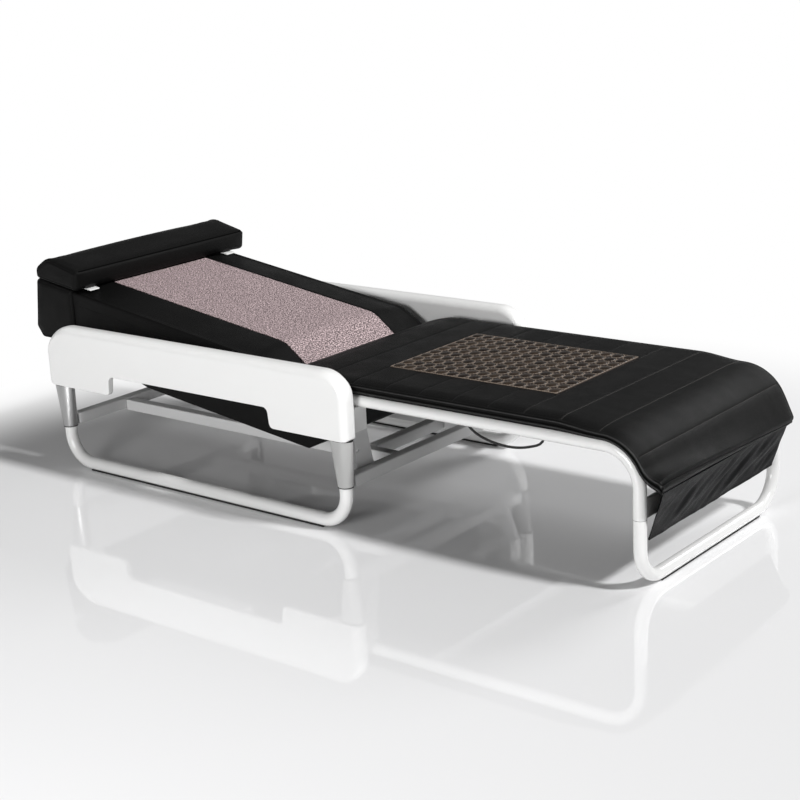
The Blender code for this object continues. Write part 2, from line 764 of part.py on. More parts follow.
def bolster_tabs(frame):
    middle = (BOLSTER_FRONT_X - TAB_INSET - BODY_X) / math.cos(BODY_SLOPE)
    half = TAB_LENGTH / 2
    for side, sign in SIDE_NAMES:
        low = (middle - half, sign * TAB_Y - TAB_W / 2, SEAT_GAP)
        high = (middle + half, sign * TAB_Y + TAB_W / 2, SEAT_GAP + TAB_T)
        place_in(box(f"bolster_tab_{side}", low, high, "white_enamel"), frame)


# Roller drive: rails, ties, belt, carriage, lift table and stone rollers
def rails_and_ties(frame):
    reach = BODY_Y - SIDE_T - SEAT_GAP
    for end, face in (("head", HEAD_TIE - TIE_W), ("foot", FOOT_TIE)):
        low = (face, -reach, -RAIL_DEPTH - TIE_H / 2)
        high = (face + TIE_W, reach, -RAIL_DEPTH + TIE_H / 2)
        tie = place_in(box(f"rail_tie_{end}", low, high, "grey_enamel"), frame)
    for side, sign in SIDE_NAMES:
        low = (HEAD_TIE + SEAT_GAP, sign * RAIL_Y, -RAIL_DEPTH)
        high = (FOOT_TIE - SEAT_GAP, sign * RAIL_Y, -RAIL_DEPTH)
        place_in(rod(f"rail_{side}", RAIL_D / 2, low, high, "steel", "X", 16), frame)
    inner = PULLEY_W / 2 + FORK_GAP
    for side, sign in SIDE_NAMES:
        spans = sorted((sign * inner, sign * (inner + FORK_T)))
        low = (FOOT_TIE - FORK_ARM, spans[0], -PULLEY_DEPTH - FORK_H / 2)
        high = (FOOT_TIE + TIE_W / 2, spans[1], -PULLEY_DEPTH + FORK_H / 2)
        boolean(tie, box_shape(low, high), f"fork_{side}", "UNION", frame)
    reach = inner + FORK_T + FORK_GAP
    low = (IDLER_S, -reach, -PULLEY_DEPTH)
    bore = rod_shape(SHAFT_D / 2 + BORE_GAP, low, (IDLER_S, reach, -PULLEY_DEPTH))
    boolean(tie, bore, "fork_bore", "DIFFERENCE", frame)


def pulley(name, s, frame, shaft):
    """A belt pulley turned with its shaft, its origin on its own axis."""
    axis = place_in(pivot(f"{name}_axis", (s, 0.0, -PULLEY_DEPTH)), frame)
    half = PULLEY_W / 2
    made = place_in(rod(name, PULLEY_R, (0, -half, 0), (0, half, 0), "dark_plastic", "Y", 24), axis)
    stub = rod_shape(SHAFT_D / 2, (0, shaft[0], 0), (0, shaft[1], 0), "Y", 16)
    boolean(made, stub, f"{name}_shaft", "UNION", axis)


def belt_drive(frame):
    half = PULLEY_W / 2
    face = half + FORK_GAP
    low = (MOTOR_S, face, -PULLEY_DEPTH)
    high = (MOTOR_S, face + MOTOR_LENGTH, -PULLEY_DEPTH)
    place_in(rod("drive_motor", MOTOR_D / 2, low, high, "dark_plastic", "Y", 32), frame)
    pulley("drive_pulley", MOTOR_S, frame, (-half - FORK_GAP, face - SEAT_GAP))
    reach = face + FORK_T
    pulley("idler_pulley", IDLER_S, frame, (-reach, reach))
    loops = []
    for radius in (PULLEY_R + SEAT_GAP + BELT_T, PULLEY_R + SEAT_GAP):
        loop = []
        for s, start in ((IDLER_S, 90.0), (MOTOR_S, 270.0)):
            for step in range(BELT_STEPS + 1):
                turn = math.radians(start - 180.0 * step / BELT_STEPS)
                loop.append((s + radius * math.cos(turn), radius * math.sin(turn) - PULLEY_DEPTH))
        loops.append(loop)
    place_in(plate("drive_belt", loops, 0.0, BELT_W / 2, "rubber"), frame)


def carriage(frame):
    axis = place_in(pivot("carriage_slide", (CARRIAGE_REST, 0.0, -RAIL_DEPTH)), frame)
    half = TABLE_LENGTH / 2
    thick = CARRIAGE_T / 2
    low = (-half, -CARRIAGE_Y, -thick)
    made = place_in(box("carriage", low, (half, CARRIAGE_Y, thick), "grey_enamel"), axis)
    for side, sign in SIDE_NAMES:
        y = sign * RAIL_Y
        low = (-SHOE_LENGTH / 2, y - SHOE_H / 2, -SHOE_H / 2)
        high = (SHOE_LENGTH / 2, y + SHOE_H / 2, SHOE_H / 2)
        boolean(made, box_shape(low, high), f"rail_shoe_{side}", "UNION", axis)
        bore = rod_shape(RAIL_D / 2 + BORE_GAP, (-half, y, 0), (half, y, 0), "X", 24)
        boolean(made, bore, f"shoe_bore_{side}", "DIFFERENCE", axis)
        top = RAIL_DEPTH - ROLLER_DEPTH - POST_D
        post = rod_shape(POST_D / 2, (0, sign * POST_Y, 0), (0, sign * POST_Y, top), "Z", 16)
        boolean(made, post, f"lift_post_{side}", "UNION", axis)
    return axis


def lift_table(slide):
    """The U-shaped table that rises on the carriage's posts and holds the roller axles."""
    axis = place_in(pivot("roller_lift", (0.0, 0.0, RAIL_DEPTH - ROLLER_DEPTH)), slide)
    half = TABLE_LENGTH / 2
    plate_top = ROLLER_DEPTH - TABLE_PLATE_DEPTH
    floor = plate_top - TABLE_T
    inner = TABLE_Y - CHEEK_T
    low = (-half, -inner - CHEEK_T / 2, floor)
    made = place_in(box("lift_table", low, (half, inner + CHEEK_T / 2, plate_top), "steel"), axis)
    for side, sign in SIDE_NAMES:
        spans = sorted((sign * inner, sign * TABLE_Y))
        low = (-half, spans[0], floor - SEAT_GAP)
        boolean(made, box_shape(low, (half, spans[1], AXLE_D)), f"cheek_{side}", "UNION", axis)
        low = (0, sign * POST_Y, floor - TABLE_T)
        hole = rod_shape(POST_D / 2 + BORE_GAP, low, (0, sign * POST_Y, plate_top + TABLE_T), "Z", 24)
        boolean(made, hole, f"post_hole_{side}", "DIFFERENCE", axis)
    for end, sign in (("head", -1), ("foot", 1)):
        s = sign * AXLE_SPACING / 2
        reach = TABLE_Y + CHEEK_T
        hole = rod_shape(AXLE_D / 2 + BORE_GAP, (s, -reach, 0), (s, reach, 0), "Y", 20)
        boolean(made, hole, f"axle_hole_{end}", "DIFFERENCE", axis)
        spin = place_in(pivot(f"rollers_{end}", (s, 0.0, 0.0)), axis)
        place_in(rod(f"roller_axle_{end}", AXLE_D / 2, (0, -TABLE_Y, 0), (0, TABLE_Y, 0), "steel", "Y", 16), spin)
        for side, y_sign in SIDE_NAMES:
            jade_roller(f"jade_roller_{end}_{side}", y_sign * ROLLER_Y, spin)


def jade_roller(name, y, spin):
    half = ROLLER_W / 2
    made = place_in(rod(name, ROLLER_R, (0, y - half, 0), (0, y + half, 0), "jade", "Y", 20), spin)
    rounding = made.modifiers.new("rounding", "BEVEL")
    rounding.width = ROLLER_EDGE_R
    rounding.segments = 2
    rounding.limit_method = "ANGLE"
    bore = rod_shape(AXLE_D / 2 + BORE_GAP, (0, y - ROLLER_W, 0), (0, y + ROLLER_W, 0), "Y", 20)
    boolean(made, bore, f"{name}_bore", "DIFFERENCE", spin)


# Leg section on its sliding side tubes
def leg_line(start_x):
    """The side tube's centre line from a start, over the knee, to the foot joint."""
    corners = [(start_x, SIDE_TUBE_Z, 0.0), (FOOT_X, SIDE_TUBE_Z, KNEE_R), (FOOT_X, FOOT_JOINT_Z, 0.0)]
    return rounded(corners, steps=KNEE_STEPS, closed=False)


def leg_frame(slide):
    for side, sign in SIDE_NAMES:
        points = [(p.x, sign * SIDE_TUBE_Y, p.y) for p in leg_line(SIDE_TUBE_END_X)]
        carry(tube(f"side_tube_{side}", points, SIDE_TUBE_D, "white_enamel"), slide)
    top = FOOT_JOINT_Z - SEAT_GAP
    corners = [
        (-SIDE_TUBE_Y, top, 0.0),
        (-SIDE_TUBE_Y, FOOT_TUBE_Z, FOOT_BEND_R),
        (SIDE_TUBE_Y, FOOT_TUBE_Z, FOOT_BEND_R),
        (SIDE_TUBE_Y, top, 0.0),
    ]
    points = [(FOOT_X, p.x, p.y) for p in rounded(corners, steps=8, closed=False)]
    carry(tube("foot_loop", points, SIDE_TUBE_D, "white_enamel"), slide)
    reach = SIDE_TUBE_Y - FOOT_BEND_R
    low = (FOOT_X - STRIP_W / 2, -reach, 0.0)
    carry(box("foot_strip", low, (FOOT_X + STRIP_W / 2, reach, STRIP_T), "rubber"), slide)
    reach = SIDE_TUBE_Y - SIDE_TUBE_R - SEAT_GAP
    top = PAD_UNDER_Z - SEAT_GAP
    low = (CROSS_BAR_X, -reach, top - CROSS_BAR)
    carry(box("pad_cross_bar", low, (CROSS_BAR_X + CROSS_BAR, reach, top), "grey_enamel", CROSS_BAR_R), slide)
    low = (FOOT_X - END_BAR_T / 2, -reach, END_BAR_FOOT_Z)
    high = (FOOT_X + END_BAR_T / 2, reach, END_BAR_FOOT_Z + END_BAR_H)
    carry(box("foot_end_bar", low, high, "white_enamel", CROSS_BAR_R), slide)


def ease(value, start, end):
    """0 before a start, 1 after an end, a smooth rise between."""
    part = min(1.0, max(0.0, (value - start) / (end - start)))
    return part * part * (3 - 2 * part)


def pad_height(along, across, end):
    """Height of the pad's top over its underside, with channels, welts, recess and tapered tip."""
    first = STONE_X - PAD_INNER_X
    last = first + STONE_ROWS * STONE_PITCH
    inside = first - SEAT_GAP < along < last + SEAT_GAP
    if inside and abs(across) < STONE_Y + SEAT_GAP:
        return PAD_T - RECESS
    step = (along - first) / CHANNEL_PITCH
    away = abs(step - round(step)) * CHANNEL_PITCH
    groove = CHANNEL_DEPTH * max(0.0, 1.0 - away / CHANNEL_HALF)
    crown = PAD_CROWN * math.sin(math.pi * away / CHANNEL_PITCH)
    rim = PAD_Y - abs(across)
    welt = PAD_EDGE_DROP if rim < WELT_W / 2 else WELT_GROOVE * (abs(rim - WELT_W) < WELT_W / 2)
    knee = FOOT_X - KNEE_R - PAD_INNER_X
    thin = PAD_KNEE_THIN * ease(along, knee - PAD_KNEE_EASE, knee) * (1 - ease(along, knee, end))
    height = PAD_T - PAD_CROWN - groove + crown - welt - thin
    tip = PAD_TIP_T + (PAD_T - PAD_TIP_T) * math.sin(min(1.0, along / PAD_TIP_LENGTH) * math.pi / 2)
    tail = PAD_TAIL_T + (PAD_T - PAD_TAIL_T) * min(1.0, max(0.0, end - along) / PAD_TAIL_LENGTH) ** 0.5
    return min(height, tip - welt / 2, tail)


def pad_path():
    path = Path(leg_line(PAD_INNER_X))
    return path, path.length_at_turn(PAD_END_TURN) + PAD_END_RUN


def leg_pad(slide):
    path, end = pad_path()
    first = STONE_X - PAD_INNER_X
    last = first + STONE_ROWS * STONE_PITCH
    cuts = [PAD_TIP_LENGTH / 5, PAD_TIP_LENGTH / 2, end - PAD_TAIL_LENGTH, end - PAD_TAIL_LENGTH / 3]
    cuts += [first, last, last + RECESS_WALL]
    for count in range(-math.floor(first / CHANNEL_PITCH), math.floor((end - first) / CHANNEL_PITCH) + 1):
        line = first + count * CHANNEL_PITCH
        cuts += [line - CHANNEL_HALF, line, line + CHANNEL_HALF, line + CHANNEL_PITCH / 2]
    bends = [length for length in path.lengths if 0 < length < end]
    cuts = [cut for cut in cuts if 0 < cut < end and all(abs(cut - bend) > NEAR for bend in bends)]
    cuts = sorted({round(cut, 5) for cut in cuts} | set(bends))
    half = [STONE_Y, STONE_Y + RECESS_WALL, PAD_Y - 2 * WELT_W, PAD_Y - WELT_W]
    shape = cut_block((0.0, -PAD_Y, 0.0), (end, PAD_Y, PAD_T), cuts, half + [-cut for cut in half])
    for vert in shape.verts:
        along, across, up = vert.co
        lift = pad_height(along, across, end) if up > PAD_T / 2 else 0.0
        point = path.at(along, PAD_SEAT + lift)
        vert.co = (point.x, across, point.y)
    carry(mesh_object("leg_pad", shape, "black_leather"), slide)


def stone_panel(slide):
    """A net of stones set in the pad: one raised stone in each cell of a grid."""
    length = STONE_ROWS * STONE_PITCH - 2 * STONE_MARGIN
    half = STONE_Y - STONE_MARGIN
    pitch_y = 2 * half / STONE_COLUMNS
    cuts_x = [length * row / STONE_ROWS for row in range(1, STONE_ROWS)]
    cuts_y = [-half + pitch_y * column for column in range(1, STONE_COLUMNS)]
    shape = cut_block((0.0, -half, 0.0), (length, half, NET_T), cuts_x, cuts_y)
    shape.normal_update()
    tops = [face for face in shape.faces if face.normal.z > 0.9]
    bmesh.ops.inset_individual(shape, faces=tops, thickness=STONE_INSET, depth=STONE_HEIGHT)
    foot = PAD_UNDER_Z + PAD_T - RECESS + SEAT_GAP
    bmesh.ops.translate(shape, vec=(STONE_X + STONE_MARGIN, 0.0, foot), verts=shape.verts)
    carry(mesh_object("stone_panel", shape, "jade"), slide)


def apron(slide):
    """Cloth hanging from the pad's end, in shallow folds that deepen towards its hem."""
    path, end = pad_path()
    top = path.at(end, PAD_SEAT + PAD_TAIL_T / 2)
    fall = path.run(len(path.points)) * SOFT_GAP
    top = top + fall
    foot = Vector((APRON_FOOT_X, APRON_FOOT_Z))
    down = (foot - top).normalized()
    out = Vector((-down.y, down.x))
    length = (foot - top).length
    count = APRON_FOLDS * APRON_FOLD_STEPS
    cuts_y = [-APRON_Y + 2 * APRON_Y * step / count for step in range(1, count)]
    cuts_x = [length * cut for cut in APRON_CUTS]
    low = (0.0, -APRON_Y, -APRON_T / 2)
    shape = cut_block(low, (length, APRON_Y, APRON_T / 2), cuts_x, cuts_y)
    for vert in shape.verts:
        along, across, up = vert.co
        part = along / length
        phase = (across / APRON_Y + APRON_SLANT * part) * math.pi * APRON_FOLDS
        fold = APRON_FOLD_DEPTH * math.sin(phase) * part ** 0.5
        point = top + down * along + out * (up + fold)
        vert.co = (point.x, across, point.y)
    carry(mesh_object("apron", shape, "black_cloth"), slide)


def smooth_route(route, per_span):
    """A smooth line through every point of a route."""
    points = []
    ends = [2 * route[0] - route[1]] + route + [2 * route[-1] - route[-2]]
    for a, b, c, d in zip(ends, ends[1:], ends[2:], ends[3:]):
        for step in range(per_span):
            t = step / per_span
            bend = (2 * a - 5 * b + 4 * c - d) * t ** 2 + (3 * b - a - 3 * c + d) * t ** 3
            points.append((2 * b + (c - a) * t + bend) / 2)
    return points + [route[-1]]


# Heater lead: the points it hangs through, from its gland to where it enters the pad
LEAD_ROUTE = ((0.455, 0.303), (0.466, 0.285), (0.494, 0.2695), (0.535, 0.260), (0.580, 0.258), (0.625, 0.266))
LEAD_LAST = (0.661, 0.284)


def heater_lead(slide):
    path, _ = pad_path()
    under = PAD_SEAT - SEAT_GAP
    gland_top = path.at(LEAD_GLAND_X - PAD_INNER_X, under).y
    foot = gland_top - GLAND_H
    low = (LEAD_GLAND_X, LEAD_Y, foot)
    carry(rod("lead_gland", GLAND_D / 2, low, (LEAD_GLAND_X, LEAD_Y, gland_top), "rubber", "Z", 16), slide)
    route = [Vector((LEAD_GLAND_X, LEAD_Y, foot - SEAT_GAP))]
    route += [Vector((x, LEAD_Y, z)) for x, z in LEAD_ROUTE + (LEAD_LAST,)]
    far_z = path.at(LEAD_FAR_X - PAD_INNER_X, under).y - SOFT_GAP
    route.append(Vector((LEAD_FAR_X, LEAD_Y, far_z)))
    carry(tube("heater_lead", smooth_route(route, 3), LEAD_D, "rubber", 2), slide)


def build():
    for side, sign in SIDE_NAMES:
        base_loop(side, sign)
        armrest(side, sign)
        for end, leg_x in (("head", HEAD_LEG_X), ("foot", FOOT_LEG_X)):
            sleeve(end, side, sign, leg_x)
        slide_guides(side, sign)
        guide_bracket(side, sign)
        cushion_strip(side, sign)
    underframe()
    side_panels()
    belly_panel()
    mesh_panel()
    head_block()
    bolster()
    frame = pivot("roller_frame", (BODY_X, 0.0, BODY_TOP_Z), BODY_SLOPE)
    bolster_tabs(frame)
    rails_and_ties(frame)
    belt_drive(frame)
    lift_table(carriage(frame))
    slide = pivot("leg_slide", (SIDE_TUBE_END_X, 0.0, SIDE_TUBE_Z))
    leg_frame(slide)
    leg_pad(slide)
    stone_panel(slide)
    apron(slide)
    heater_lead(slide)


build()
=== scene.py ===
# %% [markdown]
# # A jade stone massage bed, dressed
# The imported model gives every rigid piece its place. This lesson adds what the eye sees: enamelled tube,
# moulded armrests, stitched leatherette, a woven mesh over the rollers and a net of polished stones.
# Lengths are metres, +X runs from the head to the foot and the sleeper's right side is -Y.

# %% Load the frame
import math

import bpy
import numpy as np
from mathutils import Matrix, Vector, noise


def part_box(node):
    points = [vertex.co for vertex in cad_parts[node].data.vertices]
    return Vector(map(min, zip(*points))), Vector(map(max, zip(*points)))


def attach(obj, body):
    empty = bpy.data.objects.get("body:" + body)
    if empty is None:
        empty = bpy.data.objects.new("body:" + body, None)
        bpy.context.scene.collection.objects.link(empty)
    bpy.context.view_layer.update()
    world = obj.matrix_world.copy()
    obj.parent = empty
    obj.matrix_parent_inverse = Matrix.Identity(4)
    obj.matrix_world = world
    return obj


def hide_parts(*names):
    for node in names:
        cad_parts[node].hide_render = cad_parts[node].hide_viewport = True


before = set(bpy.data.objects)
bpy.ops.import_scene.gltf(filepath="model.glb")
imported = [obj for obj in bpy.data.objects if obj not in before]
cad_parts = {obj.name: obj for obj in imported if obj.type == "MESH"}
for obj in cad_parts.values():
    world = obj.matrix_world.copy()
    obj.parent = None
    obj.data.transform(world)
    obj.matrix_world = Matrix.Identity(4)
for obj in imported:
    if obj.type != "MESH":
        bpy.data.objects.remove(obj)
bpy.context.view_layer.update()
scene = bpy.context.scene
scene.view_settings.view_transform = "Standard"
SIDES = (("right", -1), ("left", 1))

# %% [markdown]
# ## Camera
# The photograph was taken from the foot end on the sleeper's right, a little above the mat, with the camera
# tipped slightly about its own axis. A long lens keeps the tube loops nearly parallel. The camera could be
# aimed with a constraint, but a matrix built from three angles also holds the small roll.

# %% Camera at the photograph's angle
VIEW_TURN = math.radians(39.231)
VIEW_DROP = math.radians(16.347)
VIEW_ROLL = math.radians(2.849)
VIEW_FROM = Vector((2.622, -3.162, 1.415))
LENS_MM = 75.14
SENSOR_MM = 36.0


def photo_camera():
    """A camera that looks along the measured direction, with its small roll."""
    level = math.cos(VIEW_DROP)
    ahead = Vector((-math.sin(VIEW_TURN) * level, math.cos(VIEW_TURN) * level, -math.sin(VIEW_DROP)))
    right = Vector((math.cos(VIEW_TURN), math.sin(VIEW_TURN), 0.0))
    up = right.cross(ahead)
    tipped_right = right * math.cos(VIEW_ROLL) - up * math.sin(VIEW_ROLL)
    tipped_up = right * math.sin(VIEW_ROLL) + up * math.cos(VIEW_ROLL)
    data = bpy.data.cameras.new("photo_view")
    data.lens = LENS_MM
    data.sensor_width = SENSOR_MM
    camera = bpy.data.objects.new("photo_view", data)
    turn = Matrix((tipped_right, tipped_up, -ahead)).transposed().to_4x4()
    camera.matrix_world = Matrix.Translation(VIEW_FROM) @ turn
    scene.collection.objects.link(camera)
    scene.camera = camera


photo_camera()
print("camera", scene.camera.name, "lens", LENS_MM)

# %% [markdown]
# ## Floor and light
# A studio shot on a pale polished floor. A broad lamp beyond the foot end throws the shadow towards the head,
# a large soft lamp on the camera's side lights the white panels, and the surround is an even white. Far from
# the bed the floor turns into that white, so no horizon shows. A curved backdrop would do the same, but its
# bend would show in the polish.


# %% Helpers for nodes
def feed(tree, node, values):
    """Give a node's inputs plain values, or link them to what other nodes put out."""
    for label, value in values.items():
        if isinstance(value, bpy.types.NodeSocket):
            tree.links.new(value, node.inputs[label])
        else:
            node.inputs[label].default_value = value


def add(tree, kind, values, **settings):
    """A new node with its own settings and its inputs."""
    made = tree.nodes.new(kind)
    for label, value in settings.items():
        setattr(made, label, value)
    feed(tree, made, values)
    return made


def calc(tree, operation, first, second=0.0):
    """One step of arithmetic on plain numbers or on what nodes put out."""
    return add(tree, "ShaderNodeMath", {0: first, 1: second}, operation=operation).outputs[0]


def object_place(tree):
    return tree.nodes.new("ShaderNodeTexCoord").outputs["Object"]


def new_finish(name):
    made = bpy.data.materials.new(name)
    made.use_nodes = True
    return made, made.node_tree, made.node_tree.nodes["Principled BSDF"]


# %% Floor
FLOOR_SIZE = 60.0
FLOOR_DROP = 0.0005
WHITE_FROM = 1.35
WHITE_AT = 2.0
WHITE_ROUND = (0.3, -0.3, 0.0)


def floor_finish():
    """Polished pale floor that turns into the white surround far from the bed."""
    made, tree, shader = new_finish("studio_floor")
    feed(tree, shader, {"Base Color": (0.90, 0.90, 0.906, 1.0), "Roughness": 0.035,
                        "Specular IOR Level": 0.75})
    away = add(tree, "ShaderNodeVectorMath", {0: object_place(tree), 1: WHITE_ROUND}, operation="DISTANCE")
    reach = {"Value": away.outputs["Value"], "From Min": WHITE_FROM, "From Max": WHITE_AT}
    far = add(tree, "ShaderNodeMapRange", reach, interpolation_type="SMOOTHSTEP")
    path = tree.nodes.new("ShaderNodeLightPath")
    seen = calc(tree, "MAXIMUM", path.outputs["Is Camera Ray"], path.outputs["Is Glossy Ray"])
    share = calc(tree, "MULTIPLY", far.outputs["Result"], seen)
    white = tree.nodes.new("ShaderNodeEmission")
    mix = add(tree, "ShaderNodeMixShader", {"Fac": share, 1: shader.outputs[0], 2: white.outputs[0]})
    tree.links.new(mix.outputs[0], tree.nodes["Material Output"].inputs["Surface"])
    return made


def studio_floor():
    bpy.ops.mesh.primitive_plane_add(size=FLOOR_SIZE, location=(0.0, 0.0, -FLOOR_DROP))
    floor = bpy.context.object
    floor.name = "studio_floor"
    floor.data.materials.append(floor_finish())


studio_floor()
print("floor", FLOOR_SIZE)

# %% Lamps and surround
SURROUND_SEEN = 1.0
SURROUND_MIRRORED = 0.28
SURROUND_LIGHT = 0.075
SUN_TOWARD = (-1.0, -0.16, -1.05)
SUN_POWER = 2.75
SUN_SPREAD = math.radians(7.0)
SOFT_LAMPS = (("front_lamp", (0.7, -4.6, 1.05), (0.1, 0.0, 0.25), 1.7, 120.0),
              ("back_lamp", (1.5, 2.6, 2.0), (0.9, 0.0, 0.3), 1.4, 45.0))


def lamp(name, kind, place, toward, power):
    data = bpy.data.lights.new(name, kind)
    data.energy = power
    made = bpy.data.objects.new(name, data)
    turn = Vector(toward).to_track_quat("-Z", "Y").to_matrix().to_4x4()
    made.matrix_world = Matrix.Translation(place) @ turn
    scene.collection.objects.link(made)
    return data


def surround():
    """White to the camera, a softer level to mirrors and the softest as light."""
    world = bpy.data.worlds.new("surround")
    scene.world = world
    world.use_nodes = True
    tree = world.node_tree
    tree.nodes.clear()
    path = tree.nodes.new("ShaderNodeLightPath")
    seen = calc(tree, "MULTIPLY", path.outputs["Is Camera Ray"], SURROUND_SEEN - SURROUND_LIGHT)
    mirrored = calc(tree, "MULTIPLY", path.outputs["Is Glossy Ray"], SURROUND_MIRRORED - SURROUND_LIGHT)
    level = calc(tree, "ADD", calc(tree, "ADD", seen, mirrored), SURROUND_LIGHT)
    light = add(tree, "ShaderNodeBackground", {"Color": (1.0, 1.0, 1.0, 1.0), "Strength": level})
    add(tree, "ShaderNodeOutputWorld", {"Surface": light.outputs[0]})


lamp("key_sun", "SUN", (0.0, 0.0, 0.0), SUN_TOWARD, SUN_POWER).angle = SUN_SPREAD
for name, place, target, size, power in SOFT_LAMPS:
    disk = lamp(name, "AREA", place, Vector(target) - Vector(place), power)
    disk.shape = "DISK"
    disk.size = size
surround()
print("lamps", len(bpy.data.lights))

# %% [markdown]
# ## Finishes
# Each finish is a Principled shader fed by shared effects. `grain` gives the pebbled skin of leatherette,
# `weave` the crossing threads of cloth and `scuff` the slow change of gloss on enamel and moulded plastic.
# Painted pictures would need every piece unwrapped. Nodes that read Object coordinates keep the pattern at
# its real size on every piece.


# %% A new node group
def group(name, inputs, outputs):
    made = bpy.data.node_groups.new(name, "ShaderNodeTree")
    for label, value in inputs:
        socket = made.interface.new_socket(label, in_out="INPUT", socket_type="NodeSocketFloat")
        socket.default_value = value
    for label in outputs:
        made.interface.new_socket(label, in_out="OUTPUT", socket_type="NodeSocketFloat")
    return made, made.nodes.new("NodeGroupInput").outputs, made.nodes.new("NodeGroupOutput")


# %% Grain of leatherette
def grain_group():
    """Pebbles with creases between them."""
    made, source, sink = group("grain", (("Scale", 700.0), ("Crease", 0.25)), ("Height",))
    place = {"Vector": object_place(made), "Scale": source["Scale"]}
    pebble = add(made, "ShaderNodeTexVoronoi", place, feature="DISTANCE_TO_EDGE")
    soft = add(made, "ShaderNodeTexNoise", {**place, "Detail": 3.0})
    edges = {"Value": pebble.outputs["Distance"], "From Max": source["Crease"]}
    crease = add(made, "ShaderNodeMapRange", edges)
    small = calc(made, "MULTIPLY", soft.outputs["Fac"], 0.5)
    feed(made, sink, {"Height": calc(made, "ADD", crease.outputs["Result"], small)})
    return made


GRAIN = grain_group()
print("effect", GRAIN.name)


# %% Weave of cloth
def weave_group():
    """Two sets of crossing threads; each place takes the higher of the two."""
    made, source, sink = group("weave", (("Threads", 900.0), ("Tilt", 0.0)), ("Height",))
    turn = {"Vector": object_place(made), "Angle": source["Tilt"]}
    turned = add(made, "ShaderNodeVectorRotate", turn, rotation_type="Y_AXIS")
    axes = add(made, "ShaderNodeSeparateXYZ", {0: turned.outputs[0]})
    threads = []
    for axis in ("Y", "X"):
        run = calc(made, "MULTIPLY", axes.outputs[axis], source["Threads"])
        threads.append(calc(made, "ABSOLUTE", calc(made, "SINE", run)))
    feed(made, sink, {"Height": calc(made, "MAXIMUM", *threads)})
    return made


WEAVE = weave_group()
print("effect", WEAVE.name)


# %% Clouds in the gloss
def scuff_group():
    """Slow cloudy change, for gloss that is never quite even."""
    made, source, sink = group("scuff", (("Scale", 9.0), ("Low", 0.2), ("High", 0.3)), ("Value", "Cloud"))
    place = {"Vector": object_place(made), "Scale": source["Scale"], "Detail": 6.0}
    cloud = add(made, "ShaderNodeTexNoise", place).outputs["Fac"]
    spread = add(made, "ShaderNodeMapRange", {
        "Value": cloud, "From Min": 0.3, "From Max": 0.7, "To Min": source["Low"], "To Max": source["High"]})
    feed(made, sink, {"Value": spread.outputs["Result"], "Cloud": cloud})
    return made


SCUFF = scuff_group()
print("effect", SCUFF.name)


# %% Small helpers for finishes
def place_group(tree, effect, **values):
    return add(tree, "ShaderNodeGroup", values, node_tree=effect).outputs


def tint(tree, factor, low, high):
    """A colour that runs from low to high with a factor."""
    ramp = add(tree, "ShaderNodeValToRGB", {"Fac": factor})
    ramp.color_ramp.elements[0].color = (*low, 1.0)
    ramp.color_ramp.elements[1].color = (*high, 1.0)
    return ramp.outputs["Color"]


def bump(tree, shader, height, distance, strength):
    made = add(tree, "ShaderNodeBump", {"Distance": distance, "Strength": strength, "Height": height})
    feed(tree, shader, {"Normal": made.outputs["Normal"]})


# %% Enamel and metal
def enamel(name, low, high, gloss, coat, pitted=True):
    """Baked enamel or moulded plastic: even colour, slightly cloudy gloss."""
    made, tree, shader = new_finish(name)
    cloud = place_group(tree, SCUFF, Scale=7.0, Low=gloss[0], High=gloss[1])
    feed(tree, shader, {"Roughness": cloud["Value"], "Base Color": tint(tree, cloud["Cloud"], low, high),
                        "Coat Weight": coat})
    if pitted:
        fine = place_group(tree, SCUFF, Scale=260.0, Low=0.0, High=1.0)
        bump(tree, shader, fine["Cloud"], 0.0001, 0.04)
    return made


def silver(name, low, high, gloss, metal=0.85):
    """Silver paint, satin steel or plain stone with fine speckle."""
    made, tree, shader = new_finish(name)
    cloud = place_group(tree, SCUFF, Scale=14.0, Low=gloss[0], High=gloss[1])
    fine = place_group(tree, SCUFF, Scale=900.0, Low=0.0, High=1.0)
    feed(tree, shader, {"Roughness": cloud["Value"], "Base Color": tint(tree, fine["Cloud"], low, high),
                        "Metallic": metal})
    return made


# %% Leather and cloth
def leather(name, low, high, pebbles, sheen):
    """Black leatherette: pebbled grain, darker creases and a soft sheen."""
    made, tree, shader = new_finish(name)
    grain = place_group(tree, GRAIN, Scale=pebbles, Crease=0.22)
    cloud = place_group(tree, SCUFF, Scale=11.0, Low=0.40, High=0.54)
    feed(tree, shader, {"Roughness": cloud["Value"], "Base Color": tint(tree, grain["Height"], low, high),
                        "Specular IOR Level": sheen})
    bump(tree, shader, grain["Height"], 0.0006, 0.35)
    return made


def cloth(name, low, high, threads, tilt, rough, shine=0.3):
    """Plain woven cloth."""
    made, tree, shader = new_finish(name)
    weave = place_group(tree, WEAVE, Threads=threads, Tilt=tilt)
    cloud = place_group(tree, SCUFF, Scale=30.0, Low=rough - 0.06, High=rough + 0.06)
    feed(tree, shader, {"Roughness": cloud["Value"], "Base Color": tint(tree, weave["Height"], low, high),
                        "Specular IOR Level": shine})
    bump(tree, shader, weave["Height"], 0.0006, 0.5)
    return made


